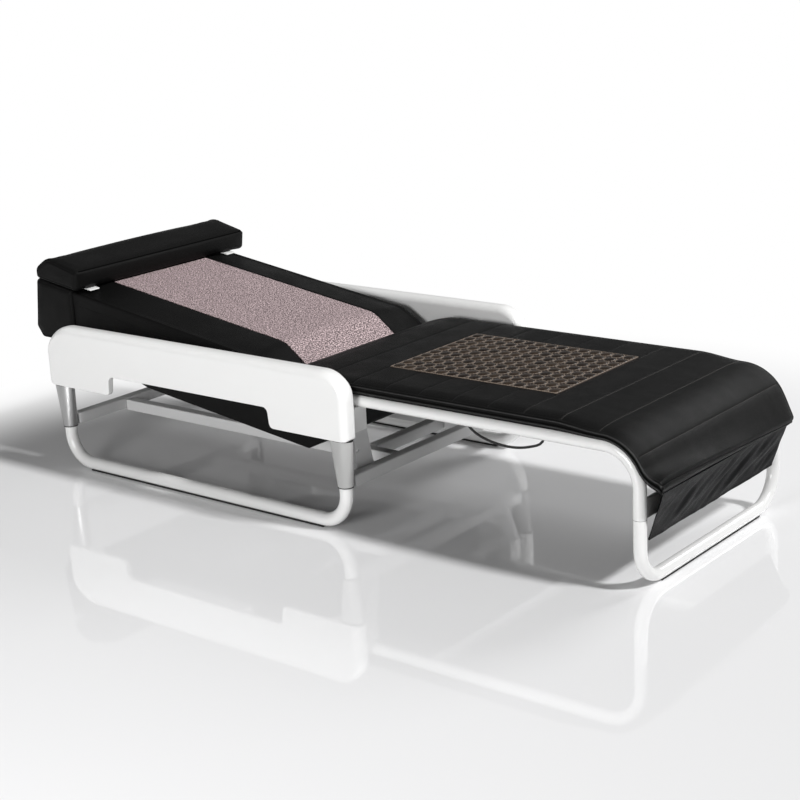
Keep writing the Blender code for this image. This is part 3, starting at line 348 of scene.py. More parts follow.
# %% Mesh, stone and thread
def stretch_mesh(name, hole, yarn, pitch):
    """Knitted mesh: a lattice of dark holes in pale yarn, a little uneven."""
    made, tree, shader = new_finish(name)
    holes = {"Vector": object_place(tree), "Scale": 1 / pitch, "Randomness": 0.6}
    cells = add(tree, "ShaderNodeTexVoronoi", holes, voronoi_dimensions="2D")
    uneven = place_group(tree, SCUFF, Scale=330.0, Low=-0.3, High=0.3)
    lattice = calc(tree, "ADD", cells.outputs["Distance"], uneven["Value"])
    yarn_share = add(tree, "ShaderNodeMapRange", {"Value": lattice, "From Min": 0.20, "From Max": 0.66})
    share = yarn_share.outputs["Result"]
    feed(tree, shader, {"Base Color": tint(tree, share, hole, yarn), "Roughness": 0.8,
                        "Specular IOR Level": 0.2})
    bump(tree, shader, share, 0.0008, 0.6)
    return made


def stone_finish(name, low, high, pitch):
    """Polished stone whose tone changes from stone to stone."""
    made, tree, shader = new_finish(name)
    snap = add(tree, "ShaderNodeVectorMath", {0: object_place(tree), 1: (*pitch, 1.0)}, operation="SNAP")
    each = add(tree, "ShaderNodeTexWhiteNoise", {"Vector": snap.outputs[0]})
    veins = place_group(tree, SCUFF, Scale=160.0, Low=-0.25, High=0.25)
    tone = calc(tree, "ADD", each.outputs["Value"], veins["Value"])
    polish = place_group(tree, SCUFF, Scale=60.0, Low=0.22, High=0.36)
    feed(tree, shader, {"Base Color": tint(tree, tone, low, high), "Roughness": polish["Value"],
                        "Specular IOR Level": 0.20})
    return made


def painted_light_thread_finish(name, dark, pale, reach):
    """Sewing thread with painted light: dark towards the head as shade in the sewn grooves, pale towards the
    foot as highlight.
    """
    made, tree, shader = new_finish(name)
    axes = add(tree, "ShaderNodeSeparateXYZ", {0: object_place(tree)})
    ends = {"Value": axes.outputs["X"], "From Min": reach[0], "From Max": reach[1]}
    share = add(tree, "ShaderNodeMapRange", ends).outputs["Result"]
    feed(tree, shader, {"Base Color": tint(tree, share, dark, pale), "Roughness": 0.6,
                        "Specular IOR Level": 0.2})
    return made


def grey(value):
    return (value, value, value)


# %% The bed's finishes
WHITE_ENAMEL = enamel("white_enamel", (0.776, 0.776, 0.769), (0.780, 0.780, 0.773), (0.21, 0.24), 0.25, False)
WHITE_PLASTIC = enamel("white_plastic", (0.841, 0.841, 0.833), (0.843, 0.843, 0.835), (0.28, 0.29), 0.10,
                       False)
GREY_ENAMEL = enamel("grey_enamel", grey(0.60), grey(0.66), (0.34, 0.46), 0.0)
SILVER_PAINT = silver("silver_paint", grey(0.34), grey(0.46), (0.34, 0.44))
SLEEVE_PAINT = enamel("sleeve_paint", (0.38, 0.38, 0.375), (0.41, 0.41, 0.405), (0.36, 0.46), 0.0)
SATIN_STEEL = silver("satin_steel", (0.50, 0.50, 0.51), (0.62, 0.62, 0.63), (0.24, 0.34))
BLACK_LEATHER = leather("black_leather", grey(0.0020), (0.0045, 0.0045, 0.0044), 620.0, 0.07)
# A lighter, shinier copy of the black leather: its lighter colour is painted highlight on the welts.
WELT_HIGHLIGHT_LEATHER = leather("welt_highlight_leather", grey(0.0030), (0.0060, 0.0060, 0.0058), 620.0, 0.40)
BLACK_CLOTH = cloth("black_cloth", (0.004, 0.004, 0.005), (0.012, 0.012, 0.013), 1500.0, 0.0, 0.70, 0.2)
BLACK_SATIN = cloth("black_satin", (0.002, 0.002, 0.0024), (0.004, 0.004, 0.0045), 1900.0, 1.2, 0.42, 0.035)
MAUVE_MESH = stretch_mesh("mauve_mesh", (0.065, 0.050, 0.052), (0.66, 0.52, 0.53), 0.0042)
NET_GROUND = cloth("net_ground", (0.010, 0.007, 0.006), (0.030, 0.022, 0.019), 1400.0, 0.0, 0.75, 0.2)
NET_THREAD = cloth("net_thread", (0.085, 0.064, 0.050), (0.22, 0.175, 0.14), 2600.0, 0.0, 0.65)
# The thread's colour is painted light: shade of the sewn grooves at the head, highlight at the foot.
THREAD_PAINTED_LIGHT = painted_light_thread_finish("thread", grey(0.006), (0.085, 0.078, 0.072), (0.58, 0.72))
# Near-black and nearly without gloss: painted shadow for the cord at the bolster's front seam.
SEAM_SHADE = cloth("seam", grey(0.0008), grey(0.0016), 3000.0, 0.0, 0.8, 0.02)
STONE = stone_finish("stone", (0.010, 0.006, 0.004), (0.034, 0.022, 0.014), (0.0318, 0.0356))
JADE_PLAIN = silver("jade_roller_stone", (0.06, 0.075, 0.045), (0.12, 0.14, 0.085), (0.18, 0.26), 0.0)
# Real rubber on the lead, belt and strips, and painted shade of the open gaps on the sleeve bands.
RUBBER_AND_GAP_SHADE = enamel("rubber", grey(0.006), grey(0.012), (0.60, 0.72), 0.0)
# Real dark plastic on the drive pieces, and painted shade of the gap on the foot-loop joint rings.
DARK_PLASTIC_AND_GAP_SHADE = enamel("dark_plastic", (0.030, 0.030, 0.032), (0.045, 0.045, 0.047), (0.40, 0.52), 0.0)
print("finishes", len(bpy.data.materials))

# %% [markdown]
# ## Heater lead
# A thin black lead leaves a gland under the pad, hangs in a shallow loop and goes back into the pad. A rope
# could be simulated, but the loop's shape is known, so a curve through a few given points was taken.


# %% Helpers for finished pieces
def only(obj):
    """Make one object the selected and active one."""
    bpy.ops.object.select_all(action="DESELECT")
    obj.select_set(True)
    bpy.context.view_layer.objects.active = obj


def settle(obj, name, finish, body, *nodes, slot=None, angle=40.0):
    """Name and finish a piece, fix its place in its mesh and set it on its body."""
    only(obj)
    obj.name = name
    obj.data.name = name
    bpy.ops.object.transform_apply(location=True, rotation=True, scale=True)
    obj.data.materials.clear()
    obj.data.materials.append(finish)
    if obj.type == "MESH":
        bpy.ops.object.shade_smooth_by_angle(angle=math.radians(angle))
    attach(obj, body)
    if nodes:
        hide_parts(*nodes)
    return obj


# %% Round lines
def round_lines(name, lines, radius, rounding, closed=False):
    """Lines through points, thickened to round rods, as one curve."""
    data = bpy.data.curves.new(name, "CURVE")
    data.dimensions = "3D"
    data.bevel_depth = radius
    data.bevel_resolution = rounding
    data.use_fill_caps = True
    for line in lines:
        spline = data.splines.new("POLY")
        spline.points.add(len(line) - 1)
        for slot, point in zip(spline.points, line):
            slot.co = (*point, 1.0)
        spline.use_cyclic_u = closed
    made = bpy.data.objects.new(name, data)
    scene.collection.objects.link(made)
    return made


def smooth_route(route, per_span):
    """A smooth line through every point of a route."""
    points = []
    ends = [2 * route[0] - route[1]] + route + [2 * route[-1] - route[-2]]
    for a, b, c, d in zip(ends, ends[1:], ends[2:], ends[3:]):
        for step in range(per_span):
            t = step / per_span
            bend = (2 * a - 5 * b + 4 * c - d) * t ** 2 + (3 * b - a - 3 * c + d) * t ** 3
            points.append((2 * b + (c - a) * t + bend) / 2)
    return points + [route[-1]]


# %% The lead and its gland
LEAD_D = 0.006
LEAD_Y = -0.275
LEAD_ROUTE = ((0.455, 0.3177), (0.455, 0.303), (0.466, 0.285), (0.494, 0.2695), (0.535, 0.260),
              (0.580, 0.258), (0.625, 0.266), (0.661, 0.284), (0.672, 0.3312))


def heater_lead():
    points = smooth_route([Vector((x, LEAD_Y, z)) for x, z in LEAD_ROUTE], 4)
    lead = round_lines("heater_lead", [points], LEAD_D / 2, 6)
    settle(lead, "heater_lead_cover", RUBBER_AND_GAP_SHADE, "leg_section", "heater_lead", slot="rubber")


heater_lead()

# %% [markdown]
# ## White tube
# The base loops, the side tubes and the foot loop are bent from round tube. Cylinders and quarter rings could
# be joined to make them. A line with rounded corners, thickened by a round bevel and made a mesh, was chosen,
# because it gives the even bends of a tube bender.


# %% Lines with rounded corners
def rounded(points, steps=12, closed=False):
    """Points of a line whose corners (x, z, radius) are turned into arcs."""
    count = len(points)
    result = []
    for index, (x, z, radius) in enumerate(points):
        here = Vector((x, z))
        inner = closed or 0 < index < count - 1
        if not inner or radius <= 0:
            result.append(here)
            continue
        back = (Vector(points[index - 1][:2]) - here).normalized()
        ahead = (Vector(points[(index + 1) % count][:2]) - here).normalized()
        half = back.angle(ahead) / 2
        run = radius / math.tan(half)
        centre = here + (back + ahead).normalized() * (radius / math.sin(half))
        start = here + back * run - centre
        sweep = (here + ahead * run - centre).angle_signed(start)
        for step in range(steps + 1):
            result.append(centre + Matrix.Rotation(sweep * step / steps, 2) @ start)
    return result


# %% Tubes
WELD_GAP = 0.00002


def rods(name, lines, radius, rounding, closed=False):
    """Round rods along lines, as a mesh."""
    only(round_lines(name, lines, radius, rounding, closed))
    bpy.ops.object.convert(target="MESH")
    return bpy.context.object


def weld(fill):
    """Join points that meet in the active mesh, fill its open ends if asked and turn its faces outward."""
    bpy.ops.object.mode_set(mode="EDIT")
    bpy.ops.mesh.select_all(action="SELECT")
    bpy.ops.mesh.remove_doubles(threshold=WELD_GAP)
    if fill:
        bpy.ops.mesh.fill_holes(sides=0)
        bpy.ops.mesh.select_all(action="SELECT")
    bpy.ops.mesh.normals_make_consistent(inside=False)
    bpy.ops.object.mode_set(mode="OBJECT")


def bent_tube(points, radius, name, body, node):
    tube = rods(name, [points], radius, 14)
    weld(fill=False)
    settle(tube, name, WHITE_ENAMEL, body, node, slot="white_enamel", angle=50.0)


# %% Base loops, side tubes and foot loop
loop_low, loop_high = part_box("base_loop_right")
TUBE_R = (loop_high[1] - loop_low[1]) / 2
BASE_BEND_R = 0.075
FOOT_BEND_R = 0.080
KNEE_R = 0.085

side_low, side_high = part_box("side_tube_right")
SIDE_TUBE_R = (side_high[1] - side_low[1]) / 2
SIDE_TUBE_Y = (abs(side_low[1]) + abs(side_high[1])) / 2
SIDE_TUBE_Z = side_high[2] - SIDE_TUBE_R
FOOT_X = side_high[0] - SIDE_TUBE_R


def base_loop(side):
    low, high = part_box(f"base_loop_{side}")
    y = (low[1] + high[1]) / 2
    head, foot = low[0] + TUBE_R, high[0] - TUBE_R
    floor = low[2] + TUBE_R
    corners = [(head, high[2], 0), (head, floor, BASE_BEND_R), (foot, floor, BASE_BEND_R), (foot, high[2], 0)]
    points = [(p.x, y, p.y) for p in rounded(corners, 20)]
    bent_tube(points, TUBE_R, f"base_loop_{side}_tube", "base", f"base_loop_{side}")


def side_tube(side, sign):
    """Along the bed, over the knee and down to the foot joint."""
    corners = [(side_low[0], SIDE_TUBE_Z, 0), (FOOT_X, SIDE_TUBE_Z, KNEE_R), (FOOT_X, side_low[2], 0)]
    points = [(p.x, sign * SIDE_TUBE_Y, p.y) for p in rounded(corners, 24)]
    bent_tube(points, SIDE_TUBE_R, f"side_tube_{side}_bent", "leg_section", f"side_tube_{side}")


def foot_loop():
    low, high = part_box("foot_loop")
    floor = low[2] + SIDE_TUBE_R
    corners = [(-SIDE_TUBE_Y, high[2], 0), (-SIDE_TUBE_Y, floor, FOOT_BEND_R),
               (SIDE_TUBE_Y, floor, FOOT_BEND_R), (SIDE_TUBE_Y, high[2], 0)]
    points = [(FOOT_X, p.x, p.y) for p in rounded(corners, 20)]
    bent_tube(points, SIDE_TUBE_R, "foot_loop_tube", "leg_section", "foot_loop")


for side, sign in SIDES:
    base_loop(side)
    side_tube(side, sign)
foot_loop()
print("tube radii", round(TUBE_R, 4), round(SIDE_TUBE_R, 4))

# %% [markdown]
# ## Joints of the foot loop
# Each side tube is slid over an end of the foot loop, and a thin dark gap shows there. It could be cut into
# the tubes with a Boolean. A fine dark ring on the joint, painted shade of that gap, shows the same line with
# far fewer faces.

# %% Joints of the foot loop
JOINT_GAP = 0.0005


def joint_shade_ring(side, sign):
    """A dark ring where a side tube is slid over the foot loop: painted shade of the gap there."""
    bpy.ops.mesh.primitive_torus_add(
        major_segments=64, minor_segments=8, major_radius=SIDE_TUBE_R - JOINT_GAP / 2, minor_radius=JOINT_GAP,
        location=(FOOT_X, sign * SIDE_TUBE_Y, side_low[2]))
    ring = bpy.context.object
    # This dark ring is painted shade of the gap in the joint.
    settle(ring, f"joint_shade_ring_{side}", DARK_PLASTIC_AND_GAP_SHADE, "leg_section", slot="white_enamel", angle=60.0)


for side, sign in SIDES:
    joint_shade_ring(side, sign)
print("joint height", round(float(side_low[2]), 4))

# %% [markdown]
# ## Skins
# Armrests and cushions could be boxes with bevels and a Subdivision Surface. Here they are closed skins drawn
# through cross-sections, so that the rounding at an edge, a sewn channel or a double welt is a change in the
# section from one station to the next. Slow noise gives the slack of leatherette over foam.


# %% Places along a line
class Line:
    """Places along a line in X and Z, and off its upper side."""

    def __init__(self, points):
        self.points = np.array([tuple(p) for p in points])
        steps = np.diff(self.points, axis=0)
        sizes = np.hypot(steps[:, 0], steps[:, 1])
        self.lengths = np.concatenate(([0.0], np.cumsum(sizes)))
        runs = steps / sizes[:, None]
        mixed = np.vstack((runs[:1], runs[:-1] + runs[1:], runs[-1:]))
        self.runs = mixed / np.linalg.norm(mixed, axis=1)[:, None]

    def at(self, along, up):
        x, z = (np.interp(along, self.lengths, self.points[:, axis]) for axis in (0, 1))
        run_x, run_z = (np.interp(along, self.lengths, self.runs[:, axis]) for axis in (0, 1))
        size = math.hypot(run_x, run_z)
        return x - run_z / size * up, z + run_x / size * up


# %% Skins through cross-sections
def skin(name, sections):
    """A closed mesh through a row of closed cross-sections with equal counts of points."""
    sections = np.array(sections)
    count = sections.shape[1]
    closed = np.concatenate((sections, sections[:, :1]), axis=1)
    bpy.ops.mesh.primitive_grid_add(x_subdivisions=count, y_subdivisions=len(sections) - 1)
    made = bpy.context.object
    made.name = name
    made.data.vertices.foreach_set("co", closed.reshape(-1))
    weld(fill=True)
    return made


def placed(loop, place, sign=1):
    """A section's points (y, up), put in space by a function that gives x and z."""
    section = []
    for y, up in loop:
        x, z = place(y, up)
        section.append((x, sign * y, z))
    return section


def ease(value, start, end):
    """0 before a start, 1 after an end, a smooth rise between."""
    part = min(1.0, max(0.0, (value - start) / (end - start)))
    return part * part * (3 - 2 * part)


def slack(along, across, size, depth):
    """Slow uneven puckers, longer one way than the other."""
    return depth * noise.noise(Vector((along / size, across / (0.45 * size), 3.7)))


# %% [markdown]
# ## Armrests
# Each armrest is one moulded panel with a wide shallow notch in its lower edge. It is drawn through upright
# sections: the top and both ends are rounded over almost the whole thickness, the lower edge is nearly sharp.
# A bevelled box with a cut would have one radius all round.

# %% Armrest edges
ARM_TOP_DROP = 0.010
ARM_TOP_CORNERS = (0.095, 0.075)
ARM_LOW_CORNERS = (0.030, 0.008)
ARM_WAIST_Z = 0.290
ARM_NOTCH = (-0.627, -0.055)
ARM_NOTCH_Z = 0.283
ARM_NOTCH_LEAN = 0.005
ARM_NOTCH_LIP_R = 0.012
ARM_NOTCH_CORNERS = (0.015, 0.017)


def arm_edges(low, high):
    """An armrest's lower edge with its notch, and its upper edge, as rows of x and z."""
    top_z = high[2] - ARM_TOP_DROP
    head, foot = ARM_NOTCH
    lower = [
        (low[0], ARM_WAIST_Z, 0), (low[0], low[2], ARM_LOW_CORNERS[0]),
        (head, low[2], ARM_NOTCH_LIP_R), (head + ARM_NOTCH_LEAN, ARM_NOTCH_Z, ARM_NOTCH_CORNERS[0]),
        (foot - ARM_NOTCH_LEAN, ARM_NOTCH_Z, ARM_NOTCH_CORNERS[1]), (foot, low[2], ARM_NOTCH_LIP_R),
        (high[0], low[2], ARM_LOW_CORNERS[1]), (high[0], ARM_WAIST_Z, 0)]
    upper = [
        (low[0], ARM_WAIST_Z, 0), (low[0], top_z, ARM_TOP_CORNERS[0]),
        (high[0], top_z, ARM_TOP_CORNERS[1]), (high[0], ARM_WAIST_Z, 0)]
    return [np.array([tuple(p) for p in rounded(line, steps)]) for line, steps in ((lower, 10), (upper, 24))]


# %% Armrest sections
ARM_ROUND_R = 0.020
ARM_LOW_R = 0.003
ARM_END = 0.0003
ARM_NOTCH_SPAN = 0.026
ARM_SHELL_T = 0.016
ARM_STEP_Z = 0.302
ARM_STEP_H = 0.002
ARM_GUARD = 0.003


def arm_stations(low_x, high_x):
    """Stations along an armrest, close together at its ends and at the notch's ends."""
    stations = set(np.linspace(low_x + ARM_END, high_x - ARM_END, 120))
    for share in np.linspace(0.0, 1.0, 24):
        stations |= {low_x + ARM_END + 0.1 * share ** 2, high_x - ARM_END - 0.08 * share ** 2}
    for place in ARM_NOTCH:
        stations |= set(place + np.linspace(-ARM_NOTCH_SPAN, ARM_NOTCH_SPAN, 53))
    return sorted(stations)


def arc(centre, radius, start, end, count):
    angles = np.radians(np.linspace(start, end, count))
    return [(centre[0] + radius * math.cos(a), centre[1] + radius * math.sin(a)) for a in angles]


def arm_section(half, low_z, high_z, hollow):
    """A closed upright section, from inside to outside: a thin shell below where hollow, round above."""
    top_r = min(ARM_ROUND_R, half - 0.0006, (high_z - low_z) / 2.5)
    low_r = min(ARM_LOW_R, half - 0.0008)
    inner = -half + (2 * half - ARM_SHELL_T) * hollow
    step_z = min(max(ARM_STEP_Z, low_z + 0.006), high_z - top_r - 0.004)
    flat_top, flat_low = high_z - top_r, low_z + low_r
    guard = min(ARM_GUARD, (flat_top - flat_low) / 4)
    loop = arc((inner + low_r, flat_low), low_r, 270, 180, 4)
    loop += [(inner, step_z - ARM_STEP_H), (-half, step_z + ARM_STEP_H * hollow)]
    loop += arc((-half + top_r, flat_top), top_r, 180, 90, 12)
    loop += arc((half - top_r, flat_top), top_r, 90, 0, 12)
    loop += [(half, flat_top - guard), (half, (flat_top + flat_low) / 2), (half, flat_low + guard)]
    return loop + arc((half - low_r, flat_low), low_r, 0, -90, 4)


# %% Armrest panels
ARM_HOLLOW = (-0.765, 0.095)
ARM_HOLLOW_EASE = 0.012


def armrest(side, sign):
    low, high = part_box(f"armrest_{side}")
    lower, upper = arm_edges(low, high)
    middle = (low[1] + high[1]) / 2
    full = (high[1] - low[1]) / 2
    sections = []
    for x in arm_stations(low[0], high[0]):
        into = min(ARM_ROUND_R, x - low[0], high[0] - x)
        half = full - ARM_ROUND_R + math.sqrt(ARM_ROUND_R ** 2 - (ARM_ROUND_R - into) ** 2)
        low_z = np.interp(x, lower[:, 0], lower[:, 1])
        high_z = np.interp(x, upper[:, 0], upper[:, 1])
        hollow = ease(x, ARM_HOLLOW[0] - ARM_HOLLOW_EASE, ARM_HOLLOW[0])
        hollow *= 1 - ease(x, ARM_HOLLOW[1], ARM_HOLLOW[1] + ARM_HOLLOW_EASE)
        loop = arm_section(half, low_z, high_z, hollow)
        sections.append([(x, middle + sign * out, z) for out, z in loop])
    panel = skin("armrest", sections)
    settle(panel, f"armrest_{side}_panel", WHITE_PLASTIC, "base", f"armrest_{side}", slot="white_plastic")
    print("armrest", side, len(panel.data.vertices))


for side, sign in SIDES:
    armrest(side, sign)

# %% [markdown]
# ## Leg sleeves
# A short sleeve hides where each leg of a base loop meets its armrest: round at the tube, oval above. It
# could be a skin too, but a cylinder whose upper ring is stretched needs less. A dark band at each rim is
# painted shade for the open gap there.

# %% Leg sleeves
SLEEVE_LIP = 0.0015
SLEEVE_SHIFT = 0.007


def sleeve_sizes(end, side):
    """A sleeve's box, middle and radius."""
    low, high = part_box(f"sleeve_{end}_{side}")
    return low, high, [(a + b) / 2 for a, b in zip(low, high)], (high[1] - low[1]) / 2


def sleeve(end, side):
    """A sleeve round at its foot and oval at its head, with both rims eased."""
    low, high, middle, radius = sleeve_sizes(end, side)
    leg_x = middle[0] + SLEEVE_SHIFT
    bpy.ops.mesh.primitive_cylinder_add(vertices=64, radius=radius, depth=high[2] - low[2],
                                        location=(leg_x, middle[1], middle[2]))
    made = bpy.context.object
    bpy.ops.object.transform_apply(location=True)
    stretch = (high[0] - low[0]) / (2 * radius)
    for vert in made.data.vertices:
        if vert.co.z > middle[2]:
            vert.co.x = middle[0] + (vert.co.x - leg_x) * stretch
    easing = made.modifiers.new("easing", "BEVEL")
    easing.width = SLEEVE_LIP
    easing.segments = 3
    easing.limit_method = "ANGLE"
    bpy.ops.object.modifier_apply(modifier="easing")
    finish = SILVER_PAINT if end == "head" else SLEEVE_PAINT
    settle(made, f"sleeve_{end}_{side}_cover", finish, "base", f"sleeve_{end}_{side}",
           slot="steel" if end == "head" else "grey_enamel", angle=35.0)


# %% Sleeves with their gaps
GAP_H = 0.0024
GAP_OUT = 0.0003


def sleeve_gap_shade(end, side):
    """Dark bands where a sleeve meets the armrest and the tube: painted shade of the open gaps there."""
    low, high, middle, radius = sleeve_sizes(end, side)
    bands = []
    for x, z, half in ((middle[0], high[2] - GAP_H / 2, (high[0] - low[0]) / 2),
                       (middle[0] + SLEEVE_SHIFT, low[2] + GAP_H / 2, radius)):
        bpy.ops.mesh.primitive_cylinder_add(vertices=64, radius=1.0, depth=GAP_H, location=(x, middle[1], z))
        band = bpy.context.object
        band.scale = (half + GAP_OUT, radius + GAP_OUT, 1.0)
        bands.append(band)
    only(bands[0])
    bands[1].select_set(True)
    bpy.ops.object.join()
    # The rubber finish here is painted shade: the bands stand for the open gaps at the sleeve's rims.
    settle(bpy.context.object, f"sleeve_{end}_{side}_gaps", RUBBER_AND_GAP_SHADE, "base", slot="rubber", angle=35.0)
    print("sleeve", end, side, round(float(high[2] - low[2]), 4))


for end in ("head", "foot"):
    for side, _ in SIDES:
        sleeve(end, side)
        sleeve_gap_shade(end, side)

# %% [markdown]
# ## Leg pad
# Each cushion is its own skin in leatherette. The pad follows the side tubes: flat, then round the knee. Sewn
# channels cross it, two welts run along each edge, and it is thinner where it bends. Cloth could swell it,
# but channels at a known pitch are placed more surely by a formula for the height of the top.

# %% Lines of the leg pad
pad_low, pad_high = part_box("leg_pad")
stone_low, stone_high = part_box("stone_panel")
PAD_SEAT = SIDE_TUBE_R + 0.0008
PAD_Y = pad_high[1]
NEAR_END = (math.radians(60.0), math.radians(18.0))
FAR_END = (math.radians(77.0), math.radians(77.0))
PAD_TURN = 0.184
KNEE_AT = FOOT_X - KNEE_R - pad_low[0]
PAD_LENGTH = KNEE_AT + PAD_TURN
FLARE_AT = PAD_LENGTH - 0.075


def pad_route(steepest, last, step=0.002):
    """The pad's underside: flat, round the knee, and away from the tube at its end."""
    x, z = pad_low[0], SIDE_TUBE_Z + PAD_SEAT
    points = [(x, z)]
    x += KNEE_AT
    points.append((x, z))
    for along in np.arange(KNEE_AT + step / 2, PAD_LENGTH + step, step):
        dip = min(steepest, (along - KNEE_AT) / (KNEE_R + PAD_SEAT))
        dip -= (steepest - last) * ease(along, FLARE_AT - 0.005, PAD_LENGTH)
        x += math.cos(dip) * step
        z -= math.sin(dip) * step
        points.append((x, z))
    return points


near_line = Line(pad_route(*NEAR_END))
far_line = Line(pad_route(*FAR_END))


def pad_place(along, across, up):
    """A place on the pad: its near corner stands off the tube, its far one follows it."""
    share = min(1.0, max(0.0, 0.5 - 0.5 * across / PAD_Y))
    near, far = near_line.at(along, up), far_line.at(along, up)
    return tuple(a * share + b * (1 - share) for a, b in zip(near, far))


print("pad length", round(float(PAD_LENGTH), 3))

# %% Rim of the leg pad
PAD_SAG = 0.003
RIM_RISE = 1.24
RIM_PROFILE = ((-0.0070, 0.0), (-0.0020, 0.0012), (0.0002, 0.0034), (0.0010, 0.0062), (0.0002, 0.0090),
               (-0.0024, 0.0102), (-0.0010, 0.0122), (0.0000, 0.0150), (-0.0008, 0.0182), (-0.0034, 0.0203),
               (-0.0062, 0.0200))


def knee_share(along):
    return ease(along, KNEE_AT - 0.12, KNEE_AT) * (1 - ease(along, FLARE_AT, PAD_LENGTH))


def pad_swell(along):
    """How much of its full thickness the pad has at a station: tip, knee and end."""
    tip = 0.22 + 0.78 * math.sin(min(1.0, along / 0.105) * math.pi / 2)
    left = max(0.0, PAD_LENGTH - along)
    tail = 0.45 + 0.55 * math.sqrt(min(1.0, left / 0.016)) - 0.10 * math.exp(-((left - 0.007) / 0.0016) ** 2)
    return tip * tail * (1 - 0.32 * knee_share(along))


def rim_up(along, up):
    """Height of a place on the pad's rim: it sinks where the pad bends."""
    return up * RIM_RISE * pad_swell(along) - PAD_SAG * knee_share(along)


print("rim height at the middle", round(rim_up(PAD_LENGTH / 2, RIM_PROFILE[-1][1]), 4))

# %% Sewn channels
CHANNEL_PITCH = 0.0965
CHANNEL_FIRST = stone_low[0] - 0.002 - pad_low[0]
CHANNEL_DEPTH = 0.0019
CHANNEL_SPREAD = 0.0030
CHANNEL_STEPS = (0.0, 0.0007, 0.0016, 0.0032, 0.0055)
CHANNEL_END = 0.03


def channels():
    """Stations of the sewn lines that cross the pad."""
    stations = CHANNEL_FIRST + CHANNEL_PITCH * np.arange(-2, 10)
    return [along for along in stations if CHANNEL_END < along < PAD_LENGTH - CHANNEL_END]


print("sewn lines", len(channels()))

# %% Top of the leg pad
PAD_T = pad_high[2] - SIDE_TUBE_Z - PAD_SEAT
PAD_RIM_T = 0.0265
PAD_RIM_Y = PAD_Y - 0.009
PAD_ROUND = 0.034
SAG_BAND = 0.08
UNDER_STONES = 0.0046
STONE_MARGIN = 0.001


def pad_top(along, across):
    """Height of the pad over its seat at a place on its top, before it sinks at the knee."""
    swell = pad_swell(along)
    rim = PAD_RIM_Y - abs(across)
    height = PAD_T * swell - (PAD_T - PAD_RIM_T) * swell * (1 - min(1.0, rim / PAD_ROUND)) ** 2.2
    x = pad_low[0] + along
    inside = stone_low[0] - STONE_MARGIN < x < stone_high[0] + STONE_MARGIN
    if inside and abs(across) < stone_high[1] + STONE_MARGIN:
        return PAD_T - UNDER_STONES
    step = (along - CHANNEL_FIRST) / CHANNEL_PITCH
    away = abs(step - round(step)) * CHANNEL_PITCH
    sewn = CHANNEL_DEPTH * math.exp(-away / CHANNEL_SPREAD) * min(1.0, swell)
    puff = 0.0008 * math.sin(math.pi * away / CHANNEL_PITCH)
    wrinkle = slack(along, across, 0.075, 0.00035) + slack(along, across, 0.020, 0.00012)
    return height - 0.0010 - sewn + puff + wrinkle * min(1.0, rim / 0.03)


def sunk_top(along, across):
    """Height of the pad's top with its edges sunk at the knee."""
    sag = PAD_SAG * knee_share(along)
    return pad_top(along, across) - sag * ease(abs(across), PAD_Y - SAG_BAND, PAD_Y)


# %% Leg pad
PAD_TAIL = 0.018


def leg_pad():
    stations = set(np.linspace(0.0, PAD_LENGTH - PAD_TAIL, 260))
    stations |= set(PAD_LENGTH - np.linspace(0.0, PAD_TAIL, 19))
    for sewn in channels():
        stations |= {sewn + sign * away for away in CHANNEL_STEPS for sign in (-1, 1)}
    tops = np.linspace(-PAD_RIM_Y, PAD_RIM_Y, 121)[::-1]
    under = np.linspace(-PAD_Y + 0.012, PAD_Y - 0.012, 14)
    sections = []
    for along in sorted(stations):
        loop = [(y, 0.0) for y in under]
        loop += [(PAD_Y + out, rim_up(along, up)) for out, up in RIM_PROFILE]
        loop += [(y, sunk_top(along, y)) for y in tops]
        loop += [(-PAD_Y - out, rim_up(along, up)) for out, up in RIM_PROFILE[::-1]]
        sections.append(placed(loop, lambda y, up: pad_place(along, y, up)))
    pad = skin("leg_pad_skin", sections)
    settle(pad, "leg_pad_skin", BLACK_LEATHER, "leg_section", "leg_pad", slot="black_leather", angle=60.0)
    print("leg pad", len(pad.data.vertices))


leg_pad()

# %% Stitches of the leg pad
THREAD_R = 0.0005
STITCH_PITCH = 0.0065
STITCH_SHARE = 0.0042 / STITCH_PITCH


def pad_stitches():
    """Thread along the sewn lines: each stitch is a short rod that lies on the cover, none on the stones."""
    stitches = []
    reach = PAD_RIM_Y - 0.004
    for along in channels():
        over_stones = stone_low[0] - 0.003 < pad_low[0] + along < stone_high[0] + 0.003
        row = []
        for y in np.arange(-reach, reach, STITCH_PITCH):
            if not (over_stones and abs(y) < stone_high[1] + 0.004):
                x, z = pad_place(along, y, sunk_top(along, y))
                row.append(Vector((x, y, z)))
        pairs = [(a, b) for a, b in zip(row, row[1:]) if not a.y < 0 <= b.y]
        stitches += [(a, a + (b - a) * STITCH_SHARE) for a, b in pairs]
    thread = rods("pad_stitches", stitches, THREAD_R, 1)
    settle(thread, "pad_stitches", THREAD_PAINTED_LIGHT, "leg_section", slot="black_leather", angle=60.0)
    print("stitches", len(stitches))


pad_stitches()

# %% Welts of the leg pad
WELT_R = 0.0024
WELT_IN = 0.006
WELTS = ((-0.0008, 0.0066), (-0.0022, 0.0166))


def pad_welts():
    """Two sewn welts along each edge of the pad, in a copy of the leather made lighter for painted highlight
    and shinier.
    """
    stations = np.linspace(WELT_IN, PAD_LENGTH - WELT_IN, 160)
    lines = []
    for sign in (-1, 1):
        for out, up in WELTS:
            y = sign * (PAD_Y + out)
            places = [pad_place(along, y, rim_up(along, up)) for along in stations]
            lines.append([(x, y, z) for x, z in places])
    welts = rods("pad_welts", lines, WELT_R, 3)
    settle(welts, "pad_welts", WELT_HIGHLIGHT_LEATHER, "leg_section", slot="black_leather", angle=60.0)
    print("welts", len(lines))


pad_welts()

